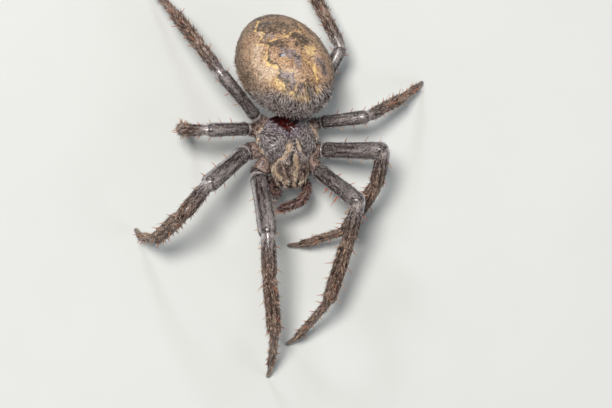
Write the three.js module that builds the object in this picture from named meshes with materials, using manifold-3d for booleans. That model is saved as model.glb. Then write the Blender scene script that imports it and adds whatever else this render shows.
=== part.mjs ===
// An orb weaver spider standing on its eight feet: a still, life-size model.
// Millimetres. +Z is up and the floor is z = 0. The head points towards -Y and
// the spider's left side lies towards +X.
import * as THREE from "three";
import { mergeVertices } from "three/addons/utils/BufferGeometryUtils.js";
import Module from "manifold-3d";

const wasm = await Module();
wasm.setup();

// Driving dimensions: millimetres, degrees, and shares of a length or a radius.

const hipHeight = 8; // the plane of the hips above the floor, on the midline
const bodyRoll = 12; // the body leans down this much towards its left side
const trunkShift = -0.4; // how far the midline stands off the middle of the feet
const jointGap = 0.08; // thin cut between one leg segment and the next
const plateGap = 0.06; // thin cut between the plates of the body
const kneeReach = 0.75; // how far, in radii, a segment may run past a sharp knee
const footDepth = 0.06; // how deep the end of each tarsus is pared to make its flat

const rim = { height: 1.05, thickness: 0.3 }; // the carapace's lower edge, over the hips
const arch = { facets: 16, power: 0.82 }; // a power under 1 makes the arch boxier

// Stations along the carapace, front to rear: place, half width and crown height.
const carapaceStations = [
  [-4.75, 0.9, 1.9],
  [-4.5, 1.6, 2.4],
  [-4.0, 2.1, 2.8],
  [-3.1, 2.35, 3.2],
  [-2.0, 2.5, 3.5],
  [-0.9, 2.95, 3.6],
  [0.1, 3.7, 3.6],
  [1.4, 4.15, 3.45],
  [2.6, 3.9, 2.85],
  [3.6, 3.0, 2.05],
  [4.25, 1.9, 1.6],
  [4.5, 1.0, 1.45],
];

// The eyes: four in a square in the middle, and a pair at each corner of the head.
// along is the place on the body and down is degrees over the arch from its crown.
const eyes = [
  { name: "eye_front_middle", along: -4.58, down: 17, radius: 0.27 },
  { name: "eye_rear_middle", along: -4.12, down: 14, radius: 0.25 },
  { name: "eye_front_side", along: -4.36, down: 62, radius: 0.2 },
  { name: "eye_rear_side", along: -3.98, down: 57, radius: 0.2 },
];
const eyeSink = 0.35; // how deep an eye's centre lies under the plate, in radii
const eyeLean = 0.5; // how far forward the eyes face

const abdomen = {
  halfLength: 7.95,
  halfWidth: 6.1,
  backHeight: 5.1,
  bellyHeight: 4.3,
  shoulder: 0.05, // how much wider the front is than the rear
  pitch: 41, // the rear end hangs down this much
  yaw: 4, // the rear end turns this much towards the spider's right
  roll: 15, // the abdomen leans down this much towards its left side
  centre: [0.12, 10.42, 11.8],
};
const spinnerets = {
  place: [0, 5.2, -3.5], // in the abdomen's own axes
  tilt: 29,
  mound: { top: 0.85, end: 0.7, height: 0.9, lift: 0.25 },
  cone: { count: 6, base: 0.38, tip: 0.16, length: 1.5, lean: 13, spread: 0.36, drop: 0.4 },
};
const pedicel = { radius: 0.6, line: [[0, 4.0, 0.15], [0, 4.8, 0.3], [0.1, 5.6, 1.2], [0.2, 6.4, 2.8]] };

const sternum = { halfSize: [2.3, 3.2, 1.0], centre: [0, 0.7, -0.6] };
const mouthPad = { halfSize: [0.62, 0.8, 0.6], centre: [0.72, -1.95, -0.95] };
const coxaRoot = { across: 0.35, along: 0.55, back: 0.3 }; // shares of the hip's place, and a shift

// Stations down a chelicera: height over the hips, radius and bulge forward.
const chelicera = {
  across: 0.98,
  along: -3.55,
  depth: 1.05, // fore and aft radius as a share of the radius across
  sides: 12,
  stations: [
    [0.94, 0.72, 0],
    [0.4, 0.86, 0.1],
    [-0.6, 0.92, 0.16],
    [-1.6, 0.8, 0.1],
    [-2.3, 0.58, -0.05],
    [-2.5, 0.3, -0.1],
  ],
  fangLine: [[1.15, -3.7, -2.2], [1.0, -3.55, -2.75], [0.6, -3.1, -3.0], [0.35, -2.7, -2.95]],
  fangProfile: [[0, 0.3], [0.5, 0.27], [1, 0.12]],
};

// The palps: the right one is tucked across the mouth and the left one reaches past it.
const palpLines = {
  right: [
    [-2.35, -3.2, -1.3],
    [-2.45, -3.7, -0.5],
    [-2.35, -4.6, -0.2],
    [-1.6, -5.2, -0.6],
    [-0.7, -5.3, -1.3],
  ],
  left: [
    [2.35, -3.3, -1.2],
    [2.5, -4.0, -0.4],
    [2.5, -5.3, 0.4],
    [1.8, -6.4, 0.2],
    [0.5, -7.0, -0.4],
    [-1.0, -7.3, -1.1],
  ],
};
const palpProfile = [[0, 0.36], [0.22, 0.46], [0.4, 0.47], [0.48, 0.4], [0.7, 0.44], [0.92, 0.38], [1, 0.26]];

// The four pairs of legs: segment lengths and radii, from the body outwards.
const segments = ["femur", "patella", "tibia", "metatarsus", "tarsus"];
const legSizes = {
  1: { coxa: 1.15, lengths: [10, 5.1, 8.8, 8.8, 3.2], radii: [1.22, 0.98, 0.94, 0.56, 0.4] },
  2: { coxa: 1.1, lengths: [9.3, 4.8, 7.6, 7.4, 2.6], radii: [1.2, 0.95, 0.92, 0.54, 0.4] },
  3: { coxa: 0.9, lengths: [6.3, 3.2, 4.2, 4.4, 2.3], radii: [0.95, 0.76, 0.72, 0.48, 0.38] },
  4: { coxa: 0.9, lengths: [8.9, 4.3, 6.9, 7.4, 2.7], radii: [0.9, 0.82, 0.8, 0.5, 0.38] },
};

// Relative thickness along a segment: share of the length, share of the radius.
const segmentShapes = {
  coxa: [[0, 0.8], [0.5, 1], [1, 0.8]],
  femur: [[0, 0.72], [0.05, 0.86], [0.1, 0.78], [0.18, 0.9], [0.5, 1.02], [0.93, 1], [1, 0.8]],
  patella: [[0, 0.72], [0.14, 0.94], [0.5, 1.02], [0.92, 0.98], [1, 0.8]],
  tibia: [[0, 0.76], [0.07, 0.96], [0.3, 1.02], [0.6, 0.98], [0.93, 0.92], [1, 0.7]],
  metatarsus: [[0, 0.9], [0.08, 1.08], [0.35, 1], [0.7, 0.94], [0.95, 0.96], [1, 0.8]],
  tarsus: [[0, 0.85], [0.15, 1], [0.6, 0.92], [1, 0.8]],
};
const segmentBow = { coxa: 0, femur: 0.03, patella: 0.02, tibia: 0.015, metatarsus: 0.02, tarsus: 0.03 };
const segmentSides = { coxa: 8, femur: 10, patella: 10, tibia: 10, metatarsus: 8, tarsus: 8 };

// The pose. hip is across and along the body. rise is degrees above level.
// bearing is degrees from straight ahead round to the leg's own side.
// A metatarsus has no rise of its own: it reaches down to put its foot on the floor.
const pose = {
  right_1: { hip: [3.75, -2.7], rise: [42, -6, -32, null, -57], bearing: [2, 3, -4, -1, 8] },
  right_2: { hip: [5, 0.3], rise: [42, 8, -58, null, -62], bearing: [57, 46, 48, 106, 160] },
  right_3: { hip: [4.3, 3.1], rise: [30, -28, -84, null, -78], bearing: [92, 96, 180, 260, 240] },
  right_4: { hip: [3.1, 4.3], rise: [35, -25, -36, null, -65], bearing: [141, 152, 152, 152, 153] },
  left_1: { hip: [4.1, -2.8], rise: [54, -29, -22, null, -58], bearing: [39, -17, -20, -38, -52] },
  left_2: { hip: [4.9, -0.4], rise: [40, -27, -29, null, -50], bearing: [84, -14, -35, -76, -89] },
  left_3: { hip: [5, 3.1], rise: [23, -39, -36, null, -50], bearing: [91, 111, 111, 118, 120] },
  left_4: { hip: [3.7, 4.7], rise: [7, -14, -30, null, -45], bearing: [147, 199, 196, 190, 188] },
};
const sides = { left: 1, right: -1 };

// Materials.

function finish(color, roughness) {
  return new THREE.MeshStandardMaterial({ color, roughness, metalness: 0 });
}

const legSkin = finish(0x6f625a, 0.6);
const kneeSkin = finish(0x8a7a6c, 0.5);
const carapaceSkin = finish(0x776a66, 0.6);
const abdomenSkin = finish(0xb08a4e, 0.7);
const darkSkin = finish(0x4a2a20, 0.45);
const palpSkin = finish(0x7d6248, 0.6);
const eyeGlass = finish(0x120c0a, 0.1);

// Closed bodies.

const degrees = THREE.MathUtils.degToRad;
const up = new THREE.Vector3(0, 0, 1);

// The middle of a ring of points.
function middleOf(ring) {
  return ring.reduce((sum, p) => sum.add(p), new THREE.Vector3()).divideScalar(ring.length);
}

// A closed body through rings of points, with a fan over each end.
function loft(rings) {
  const around = rings[0].length;
  const points = [...rings.flat(), middleOf(rings[0]), middleOf(rings.at(-1))];
  const firstCentre = points.length - 2;
  const lastRing = firstCentre - around;
  const index = [];
  for (let j = 0; j < around; j++) {
    const next = (j + 1) % around;
    for (let row = 0; row < lastRing; row += around) {
      index.push(row + j, row + next, row + next + around);
      index.push(row + j, row + next + around, row + j + around);
    }
    index.push(firstCentre, next, j);
    index.push(firstCentre + 1, lastRing + j, lastRing + next);
  }
  const geometry = new THREE.BufferGeometry().setFromPoints(points);
  geometry.setIndex(index);
  if (toSolid(geometry).volume() < 0) geometry.setIndex(index.reverse());
  return geometry;
}

// A round tube along a smooth curve through the points.
function sweep(line, profile, steps, around) {
  const curve = new THREE.CatmullRomCurve3(line.map((p) => new THREE.Vector3(...p)));
  const frames = curve.computeFrenetFrames(steps, false);
  const rings = [];
  for (let i = 0; i <= steps; i++) {
    const centre = curve.getPointAt(i / steps);
    const radius = readProfile(profile, i / steps);
    const ring = [];
    for (let j = 0; j < around; j++) {
      const angle = (2 * Math.PI * j) / around;
      const spoke = frames.normals[i].clone().multiplyScalar(Math.cos(angle));
      spoke.addScaledVector(frames.binormals[i], Math.sin(angle));
      ring.push(centre.clone().addScaledVector(spoke, radius));
    }
    rings.push(ring);
  }
  return loft(rings);
}

// Reads a list of [place, value] pairs at t, along straight lines between them.
function readProfile(profile, t) {
  const next = Math.max(1, profile.findIndex(([place]) => place >= t));
  const [before, after] = [profile[next - 1], profile[next]];
  const share = (t - before[0]) / (after[0] - before[0]);
  return THREE.MathUtils.lerp(before[1], after[1], share);
}

function ball([x, y, z], wide, high) {
  return new THREE.SphereGeometry(1, wide, high).scale(x, y, z);
}

function toSolid(geometry) {
  const plain = geometry.clone();
  plain.deleteAttribute("normal");
  plain.deleteAttribute("uv");
  const merged = mergeVertices(plain, 1e-4);
  const vertProperties = new Float32Array(merged.getAttribute("position").array);
  const triVerts = new Uint32Array(merged.getIndex().array);
  return new wasm.Manifold(new wasm.Mesh({ numProp: 3, vertProperties, triVerts }));
}

function toGeometry(solid) {
  const mesh = solid.getMesh();
  const geometry = new THREE.BufferGeometry();
  geometry.setAttribute("position", new THREE.Float32BufferAttribute(mesh.vertProperties, 3));
  geometry.setIndex(new THREE.Uint32BufferAttribute(mesh.triVerts, 1));
  return geometry;
}

function joined(geometries) {
  return geometries.map(toSolid).reduce((all, one) => all.add(one));
}

function addMesh(parent, name, geometry, material) {
  const mesh = new THREE.Mesh(geometry, material);
  mesh.name = name;
  parent.add(mesh);
  return mesh;
}

// Legs.

const bodyTurn = new THREE.Matrix4()
  .makeRotationY(degrees(bodyRoll))
  .setPosition(trunkShift, 0, hipHeight);

function heading(side, rise, bearing) {
  const level = Math.cos(degrees(rise));
  return new THREE.Vector3(
    side * level * Math.sin(degrees(bearing)),
    -level * Math.cos(degrees(bearing)),
    Math.sin(degrees(rise)),
  );
}

function halfway(a, b) {
  return a.clone().add(b).normalize();
}

// Works out one leg: the root of its coxa, its joints and the heading of each segment.
function planLeg(key) {
  const side = sides[key.split("_")[0]];
  const size = legSizes[key.split("_")[1]];
  const { hip, rise, bearing } = pose[key];
  const rootAlong = coxaRoot.along * hip[1] + coxaRoot.back;
  const root = new THREE.Vector3(side * coxaRoot.across * hip[0], rootAlong, 0).applyMatrix4(bodyTurn);
  const joints = [new THREE.Vector3(side * hip[0], hip[1], 0).applyMatrix4(bodyTurn)];
  const headings = [];
  size.lengths.forEach((length, i) => {
    let slope = rise[i];
    if (slope === null) {
      const toeDrop = size.lengths[i + 1] * Math.sin(degrees(rise[i + 1]));
      slope = -THREE.MathUtils.radToDeg(Math.asin((joints[i].z + toeDrop + footDepth) / length));
    }
    headings.push(heading(side, slope, bearing[i]));
    joints.push(joints[i].clone().addScaledVector(headings[i], length));
  });
  const coxaHeading = joints[0].clone().sub(root).normalize();
  return { size, root, joints, headings, coxaHeading };
}

// One segment along its own X, with its back towards its own Z. Its two ends are cut
// by the planes that it shares with its neighbours, and kept from running far past a knee.
function segmentGeometry(kind, length, radius, startPlane, endPlane) {
  const around = segmentSides[kind];
  const rings = segmentShapes[kind].map(([t, share]) => {
    const ring = [];
    for (let j = 0; j < around; j++) {
      const angle = (2 * Math.PI * (j + 0.5)) / around;
      const y = radius * share * Math.cos(angle);
      const z = radius * share * Math.sin(angle);
      const reach = kneeReach * radius * share;
      const before = Math.min(reach, (y * startPlane.y + z * startPlane.z) / startPlane.x);
      const beyond = Math.min(reach, -(y * endPlane.y + z * endPlane.z) / endPlane.x);
      const start = jointGap / 2 / startPlane.x - before;
      const end = length - jointGap / 2 / endPlane.x + beyond;
      const bow = 4 * segmentBow[kind] * length * t * (1 - t);
      ring.push(new THREE.Vector3(THREE.MathUtils.lerp(start, end, t), y, z + bow));
    }
    return ring;
  });
  return loft(rings);
}

// A segment's mesh, turned along its heading with its back kept uppermost.
function segmentMesh(kind, length, radius, from, direction, planes) {
  const across = new THREE.Vector3().crossVectors(up, direction).normalize();
  const back = new THREE.Vector3().crossVectors(direction, across);
  const mesh = new THREE.Mesh();
  mesh.quaternion.setFromRotationMatrix(new THREE.Matrix4().makeBasis(direction, across, back));
  mesh.position.copy(from);
  mesh.updateMatrix();
  const inwards = mesh.quaternion.clone().invert();
  const [startPlane, endPlane] = planes.map((plane) => plane.clone().applyQuaternion(inwards));
  mesh.geometry = segmentGeometry(kind, length, radius, startPlane, endPlane);
  return mesh;
}

function addLeg(parent, key) {
  const { size, joints, headings, coxaHeading } = planLeg(key);
  const line = [coxaHeading, ...headings, headings.at(-1)];
  segments.forEach((kind, i) => {
    const planes = [halfway(line[i], line[i + 1]), halfway(line[i + 1], line[i + 2])];
    const mesh = segmentMesh(kind, size.lengths[i], size.radii[i], joints[i], headings[i], planes);
    mesh.material = kind === "patella" ? kneeSkin : legSkin;
    mesh.name = `leg_${key}_${kind}`;
    if (kind === "tarsus") pareFoot(mesh);
    parent.add(mesh);
  });
}

// Cuts away what lies below the floor, which leaves a small flat under the foot.
function pareFoot(mesh) {
  const slab = new THREE.BoxGeometry(10, 10, 2).translate(mesh.position.x, mesh.position.y, -1);
  slab.applyMatrix4(mesh.matrix.clone().invert());
  mesh.geometry = toGeometry(toSolid(mesh.geometry).subtract(toSolid(slab)));
}

function coxaGeometry(key) {
  const { size, root, joints, headings, coxaHeading } = planLeg(key);
  const planes = [coxaHeading, halfway(coxaHeading, headings[0])];
  const length = root.distanceTo(joints[0]);
  const mesh = segmentMesh("coxa", length, size.coxa, root, coxaHeading, planes);
  return mesh.geometry.applyMatrix4(mesh.matrix);
}

// The front of the body.

// A point on the top of the carapace, at an angle over the arch from the left edge.
function carapacePoint(along, halfWidth, crown, angle) {
  const foot = rim.height + rim.thickness;
  const height = foot + (crown - foot) * Math.sin(angle) ** arch.power;
  return new THREE.Vector3(halfWidth * Math.cos(angle), along, height);
}

function carapaceRing([along, halfWidth, crown]) {
  const ring = [];
  for (let j = 0; j <= arch.facets; j++) {
    ring.push(carapacePoint(along, halfWidth, crown, (Math.PI * j) / arch.facets));
  }
  for (const share of [-0.96, 0, 0.96]) {
    ring.push(new THREE.Vector3(halfWidth * share, along, rim.height));
  }
  return ring;
}

function eyeGeometry({ along, down, radius }, side, grow) {
  const halfWidth = readProfile(carapaceStations.map(([place, width]) => [place, width]), along);
  const crown = readProfile(carapaceStations.map(([place, , height]) => [place, height]), along);
  const angle = Math.PI / 2 - side * degrees(down);
  const outwards = new THREE.Vector3(Math.cos(angle), -eyeLean, Math.sin(angle)).normalize();
  const centre = carapacePoint(along, halfWidth, crown, angle);
  centre.addScaledVector(outwards, -eyeSink * radius);
  return new THREE.SphereGeometry(radius + grow, 8, 6).translate(...centre);
}

// The carapace, with a socket cut round each eye.
function addCarapaceAndEyes(parent) {
  let solid = toSolid(loft(carapaceStations.map(carapaceRing)));
  for (const [sideName, side] of Object.entries(sides)) {
    for (const eye of eyes) {
      solid = solid.subtract(toSolid(eyeGeometry(eye, side, plateGap)));
      addMesh(parent, `${eye.name}_${sideName}`, eyeGeometry(eye, side, 0), eyeGlass);
    }
  }
  addMesh(parent, "carapace", toGeometry(solid), carapaceSkin);
}

function cheliceraRing([height, radius, bulge], side) {
  const ring = [];
  for (let j = 0; j < chelicera.sides; j++) {
    const angle = (2 * Math.PI * j) / chelicera.sides;
    const x = side * chelicera.across + radius * Math.cos(angle);
    const y = chelicera.along - bulge + chelicera.depth * radius * Math.sin(angle);
    ring.push(new THREE.Vector3(x, y, height));
  }
  return ring;
}

// Each chelicera: a stout base hanging under the head, and a fang folded behind its tip.
function addChelicerae(parent) {
  for (const [sideName, side] of Object.entries(sides)) {
    const base = loft(chelicera.stations.map((station) => cheliceraRing(station, side)));
    const fangLine = chelicera.fangLine.map(([x, y, z]) => [side * x, y, z]);
    const fang = sweep(fangLine, chelicera.fangProfile, 7, 8);
    addMesh(parent, `chelicera_${sideName}`, toGeometry(joined([base, fang])), darkSkin);
  }
}

function addPalps(parent) {
  for (const [sideName, line] of Object.entries(palpLines)) {
    addMesh(parent, `palp_${sideName}`, sweep(line, palpProfile, 16, 8), palpSkin);
  }
}

// The underside: the sternum, the pads beside the mouth and the eight coxae, grown
// together, and flat on top where the carapace lies over them.
function addUnderside(parent) {
  const pieces = [ball(sternum.halfSize, 12, 7).translate(...sternum.centre)];
  for (const side of Object.values(sides)) {
    const [x, y, z] = mouthPad.centre;
    pieces.push(ball(mouthPad.halfSize, 10, 6).translate(side * x, y, z));
  }
  const roof = new THREE.BoxGeometry(20, 20, 4).translate(0, 0, rim.height - plateGap + 2);
  const placed = pieces.map((piece) => piece.applyMatrix4(bodyTurn));
  const solid = joined([...placed, ...Object.keys(pose).map(coxaGeometry)]);
  const cut = solid.subtract(toSolid(roof.applyMatrix4(bodyTurn)));
  addMesh(parent, "sternum_with_coxae", toGeometry(cut), darkSkin);
}

// The rear of the body.

const abdomenTurn = new THREE.Matrix4()
  .makeRotationFromEuler(
    new THREE.Euler(-degrees(abdomen.pitch), degrees(abdomen.roll), degrees(abdomen.yaw), "YZX"),
  )
  .setPosition(...abdomen.centre);

// The abdomen in its own axes: Y runs from its front to its rear, Z to its back.
function abdomenGeometry(grow) {
  const geometry = new THREE.SphereGeometry(1, 28, 17).rotateX(Math.PI / 2);
  const p = geometry.getAttribute("position");
  for (let i = 0; i < p.count; i++) {
    const width = (abdomen.halfWidth + grow) * (1 - abdomen.shoulder * p.getY(i));
    const height = (p.getZ(i) > 0 ? abdomen.backHeight : abdomen.bellyHeight) + grow;
    p.setXYZ(i, p.getX(i) * width, p.getY(i) * (abdomen.halfLength + grow), p.getZ(i) * height);
  }
  return geometry;
}

// A ring of short cones on a low mound, cut to stand just off the skin of the belly.
function spinneretGeometry() {
  const { cone, mound } = spinnerets;
  const low = new THREE.CylinderGeometry(mound.top, mound.end, mound.height, 14);
  const pieces = [low.translate(0, mound.lift, 0)];
  for (let i = 0; i < cone.count; i++) {
    const tube = new THREE.CylinderGeometry(cone.base, cone.tip, cone.length, 6);
    tube.translate(0, -cone.drop, 0).rotateX(-degrees(cone.lean)).translate(0, 0, cone.spread);
    pieces.push(tube.rotateY((2 * Math.PI * i) / cone.count));
  }
  const placing = new THREE.Matrix4().makeRotationX(degrees(spinnerets.tilt));
  placing.setPosition(...spinnerets.place);
  const cluster = toGeometry(joined(pieces)).applyMatrix4(placing);
  return toGeometry(toSolid(cluster).subtract(toSolid(abdomenGeometry(plateGap))));
}

function addAbdomen(parent) {
  const group = new THREE.Group();
  group.applyMatrix4(abdomenTurn);
  parent.add(group);
  addMesh(group, "abdomen", abdomenGeometry(0), abdomenSkin);
  addMesh(group, "spinnerets", spinneretGeometry(), darkSkin);
}

// The narrow waist, from under the rear of the carapace up to the abdomen.
function addPedicel(parent) {
  const tube = sweep(pedicel.line, [[0, pedicel.radius], [1, pedicel.radius]], 6, 12);
  const belly = abdomenGeometry(plateGap).applyMatrix4(abdomenTurn);
  const solid = toSolid(tube.applyMatrix4(bodyTurn)).subtract(toSolid(belly));
  addMesh(parent, "pedicel", toGeometry(solid), darkSkin);
}

// The whole spider, with its origin on the floor under the middle of its box.

const spider = new THREE.Group();
const standing = new THREE.Group();
const trunk = new THREE.Group();
spider.add(standing);
standing.add(trunk);
trunk.applyMatrix4(bodyTurn);

addCarapaceAndEyes(trunk);
addChelicerae(trunk);
addPalps(trunk);
addUnderside(standing);
addAbdomen(standing);
addPedicel(standing);
for (const key of Object.keys(pose)) addLeg(standing, key);

const middle = new THREE.Box3().setFromObject(standing, true).getCenter(new THREE.Vector3());
standing.position.set(-middle.x, -middle.y, 0);

export default spider;
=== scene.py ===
import math

import bpy
import numpy as np
from mathutils import Matrix, Vector


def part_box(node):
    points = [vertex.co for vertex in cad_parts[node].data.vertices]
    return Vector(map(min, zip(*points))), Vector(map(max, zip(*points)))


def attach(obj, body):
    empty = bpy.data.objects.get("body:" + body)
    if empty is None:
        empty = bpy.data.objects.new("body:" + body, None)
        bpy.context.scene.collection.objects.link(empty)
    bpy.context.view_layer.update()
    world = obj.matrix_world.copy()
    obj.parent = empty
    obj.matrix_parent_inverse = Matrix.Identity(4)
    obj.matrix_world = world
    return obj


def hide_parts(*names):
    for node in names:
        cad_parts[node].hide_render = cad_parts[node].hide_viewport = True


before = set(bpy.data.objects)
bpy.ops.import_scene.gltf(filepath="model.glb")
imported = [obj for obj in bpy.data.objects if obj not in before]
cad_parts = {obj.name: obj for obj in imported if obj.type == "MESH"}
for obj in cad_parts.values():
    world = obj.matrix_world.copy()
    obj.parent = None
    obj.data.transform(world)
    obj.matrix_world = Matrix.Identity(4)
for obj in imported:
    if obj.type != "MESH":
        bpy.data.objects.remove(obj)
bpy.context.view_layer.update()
mm = 0.001  # pieces are drawn with a millimetre as one unit, and finishPiece brings them to life size
dice = np.random.default_rng(11)
sides = ("left", "right")
legNames = [f"{side}_{pair}" for side in ("right", "left") for pair in (1, 2, 3, 4)]
segments = ("femur", "patella", "tibia", "metatarsus", "tarsus")
legParts = ("coxa", *segments)
eyeKinds = ("front_middle", "rear_middle", "front_side", "rear_side")
print("frame loaded")

# Small tools for arrays of points


def unit(vectors):
    return vectors / np.maximum(np.linalg.norm(vectors, axis=-1, keepdims=True), 1e-9)


def smoothStep(values, low, high):
    share = np.clip((values - low) / (high - low), 0, 1)
    return share * share * (3 - 2 * share)


def makeRipples(points, size, seed):  # soft random bumps about size across, from -1 to 1
    draw = np.random.default_rng(seed)
    count = 24
    total = np.zeros(len(points))
    for _ in range(count):
        heading = unit(draw.normal(size=3)) * 2 * math.pi / (size * draw.uniform(0.8, 1.5))
        total += np.cos(points @ heading + draw.uniform(0, 2 * math.pi))
    return total / math.sqrt(count / 2) / 1.6


def readAll(items, key, kind=float, wide=3):
    values = np.zeros(len(items) * wide, kind)
    items.foreach_get(key, values)
    return values.reshape(-1, wide)


# What the frame says


def readCorners(node):  # the corners of a node's triangles, in millimetres
    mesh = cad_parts[node].data
    order = readAll(mesh.loops, "vertex_index", int, 1)[:, 0]
    return readAll(mesh.vertices, "co")[order].reshape(-1, 3, 3) / mm


def readPoints(node):
    return np.unique(readCorners(node).reshape(-1, 3).round(4), axis=0)


def cutAcross(node, place, axis):  # where a plane cuts the faces of a node
    corners = readCorners(node)
    above = (corners - place) @ axis
    found = []
    for a, b in ((0, 1), (1, 2), (2, 0)):
        crossing = above[:, a] * above[:, b] < 0
        share = above[crossing, a] / (above[crossing, a] - above[crossing, b])
        step = corners[crossing, b] - corners[crossing, a]
        found.append(corners[crossing, a] + share[:, None] * step)
    return np.concatenate(found)


def readMiddle(node):
    low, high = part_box(node)
    return np.array((low + high) / 2) / mm


class Axes:  # a set of three axes and their origin
    def __init__(self, origin, across, along):
        across = unit(across - (across @ along) * along)
        self.rows = np.array([across, along, np.cross(across, along)])
        self.origin = np.array(origin, float)

    def inside(self, points):
        return (points - self.origin) @ self.rows.T

    def outside(self, points):
        return np.asarray(points) @ self.rows + self.origin


# The front of the body leans to its left, which the pairs of eyes show
trunk = {"rimHeight": 1.05, "middleAlong": -0.125}  # of the carapace, from the plane of the hips


def readTrunk():
    across = np.zeros(3)
    for kind in eyeKinds:
        across += readMiddle(f"eye_{kind}_left") - readMiddle(f"eye_{kind}_right")
    axes = Axes((0, 0, 0), unit(across), np.array((0.0, 1.0, 0.0)))
    points = axes.inside(readPoints("carapace"))
    low, high = points.min(0), points.max(0)
    middle = (low + high) / 2
    place = (middle[0], middle[1] - trunk["middleAlong"], low[2] - trunk["rimHeight"])
    axes.origin = axes.outside(place)
    return axes


abdomenPose = {"pitch": -41, "roll": 15, "yaw": 4}  # degrees, as it is carried over the rear of the shield


def readAbdomen():  # its axes, and half its length
    pose = {way: math.radians(angle) for way, angle in abdomenPose.items()}
    turned = Matrix.Rotation(pose["roll"], 3, "Y") @ Matrix.Rotation(pose["yaw"], 3, "Z")
    turned = np.array(turned @ Matrix.Rotation(pose["pitch"], 3, "X"))
    axes = Axes((0, 0, 0), turned[:, 0], turned[:, 1])
    inside = axes.inside(readPoints("abdomen"))
    low, high = inside.min(0), inside.max(0)
    widest = inside[np.argmax(inside[:, 0])]
    axes.origin = axes.outside(((low[0] + high[0]) / 2, (low[1] + high[1]) / 2, widest[2]))
    return axes, (high[1] - low[1]) / 2


trunkAxes = readTrunk()
abdomenAxes, abdomenHalfLength = readAbdomen()

# where a coxa starts under the shield, as shares of its hip's place, and how thick it is
coxaPlan = {"across": 0.35, "along": 0.55, "back": 0.3, "thickness": 0.93}
firstCoxa = {"across": 0.55, "along": 0.36}
core = {"share": 0.45, "soleHeight": 0.01}  # points this near a segment's axis mark its two ends


def readLeg(leg):  # the joints of a leg, and each part's axes, thickness and bow
    joints = []
    last = trunkAxes.origin
    for kind in segments:
        points = readPoints(f"leg_{leg}_{kind}")
        middle = points.mean(0)
        axis = np.linalg.svd(points - middle)[2][0]
        away = np.linalg.norm(np.cross(points - middle, axis), axis=1)
        ends = points[away < core["share"] * np.median(away)]
        last = ends[np.argmin(np.linalg.norm(ends - last, axis=1))]
        joints.append(last)
        last = ends[np.argmax(np.linalg.norm(ends - last, axis=1))]
    sole = points[points[:, 2] < core["soleHeight"]]
    joints.append(sole.mean(0))
    hip = trunkAxes.inside(joints[0])
    share = coxaPlan | (firstCoxa if leg.endswith("1") else {})
    root = (share["across"] * hip[0], share["along"] * hip[1] + share["back"], hip[2])
    joints = np.array([trunkAxes.outside(root), *joints])
    headings = unit(np.diff(joints, axis=0))
    acrosses = unit(np.cross((0, 0, 1), headings))
    backs = np.cross(headings, acrosses)
    thickness, bows = [0], [0]
    for number, kind in enumerate(segments, 1):
        middle = (joints[number] + joints[number + 1]) / 2
        rim = cutAcross(f"leg_{leg}_{kind}", middle, headings[number]) - middle
        wide, high = rim @ acrosses[number], rim @ backs[number]
        thickness.append((np.ptp(wide) + np.ptp(high)) / 4)
        bows.append((high.max() + high.min()) / 2)
    thickness[0] = thickness[1] * coxaPlan["thickness"]
    return {"joints": joints, "frames": np.stack([headings, acrosses, backs], 1),
            "thickness": np.array(thickness), "bows": np.array(bows)}


# A leg is modelled straight, along x, and then laid along its joints
bending = {"step": 0.05, "softness": 0.5, "footSoftness": 0.9, "spare": 2.0}  # softness: a joint's reach


def drawCurve(plan):
    step, spare = bending["step"], bending["spare"]
    lengths = np.linalg.norm(np.diff(plan["joints"], axis=0), axis=1)
    stations = np.concatenate([[0], np.cumsum(lengths)])
    line = np.arange(-spare, stations[-1] + spare, step)
    which = np.searchsorted(stations[1:-1], line, side="right")
    past = line - stations[which]
    share = np.clip(past / lengths[which], 0, 1)
    frames = plan["frames"][which]
    rise = plan["bows"][which] * 4 * share * (1 - share)
    centres = plan["joints"][which] + past[:, None] * frames[:, 0] + rise[:, None] * frames[:, 2]
    farOut = smoothStep(line, stations[4] - 1, stations[4])[:, None]

    def average(values, softness):
        reach = round(softness / step)
        padded = np.concatenate([values[:1]] * reach + [values] + [values[-1:]] * reach)
        window = np.ones(2 * reach + 1) / (2 * reach + 1)
        return np.stack([np.convolve(column, window, "valid") for column in padded.T], 1)

    def soften(values):
        near, far = average(values, bending["softness"]), average(values, bending["footSoftness"])
        return near * (1 - farOut) + far * farOut

    heading = unit(soften(frames[:, 0]))
    across = np.array(frames[:, 1])
    for index in range(1, len(across)):  # the back turns no more than the leg bends
        before = across[index - 1]
        across[index] = unit(before - (before @ heading[index]) * heading[index])
    softened = soften(centres)
    ends = (line < 0) | (line > stations[-1] - bending["footSoftness"])
    centres[~ends] = softened[~ends]
    frames = np.stack([heading, across, np.cross(heading, across)], 1)
    drawn = {"line": line, "centres": centres, "stations": stations, "lengths": lengths, "frames": frames}
    return plan | drawn


def layAlong(plan, straight):  # where points of the straight leg go, and the leg's axes there
    place = (straight[:, 0] - plan["line"][0]) / bending["step"]
    first = np.clip(place.astype(int), 0, len(plan["line"]) - 2)
    share = np.clip(place - first, 0, 1)[:, None]
    centre = plan["centres"][first] * (1 - share) + plan["centres"][first + 1] * share
    frames = plan["frames"][first] * (1 - share[:, :, None]) + plan["frames"][first + 1] * share[:, :, None]
    return centre + straight[:, 1:2] * frames[:, 1] + straight[:, 2:3] * frames[:, 2], frames


legPlans = {leg: drawCurve(readLeg(leg)) for leg in legNames}

# Tools for pieces


def startClean():
    if bpy.context.mode != "OBJECT":
        bpy.ops.object.mode_set(mode="OBJECT")
    bpy.ops.object.select_all(action="DESELECT")


def pick(piece):
    startClean()
    piece.select_set(True)
    bpy.context.view_layer.objects.active = piece


def startEdit():
    bpy.ops.object.mode_set(mode="EDIT")
    bpy.ops.mesh.select_all(action="SELECT")


def endEdit(piece):
    bpy.ops.mesh.select_all(action="SELECT")
    bpy.ops.mesh.normals_make_consistent(inside=False)
    bpy.ops.object.mode_set(mode="OBJECT")
    return sortMesh(piece)


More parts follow.
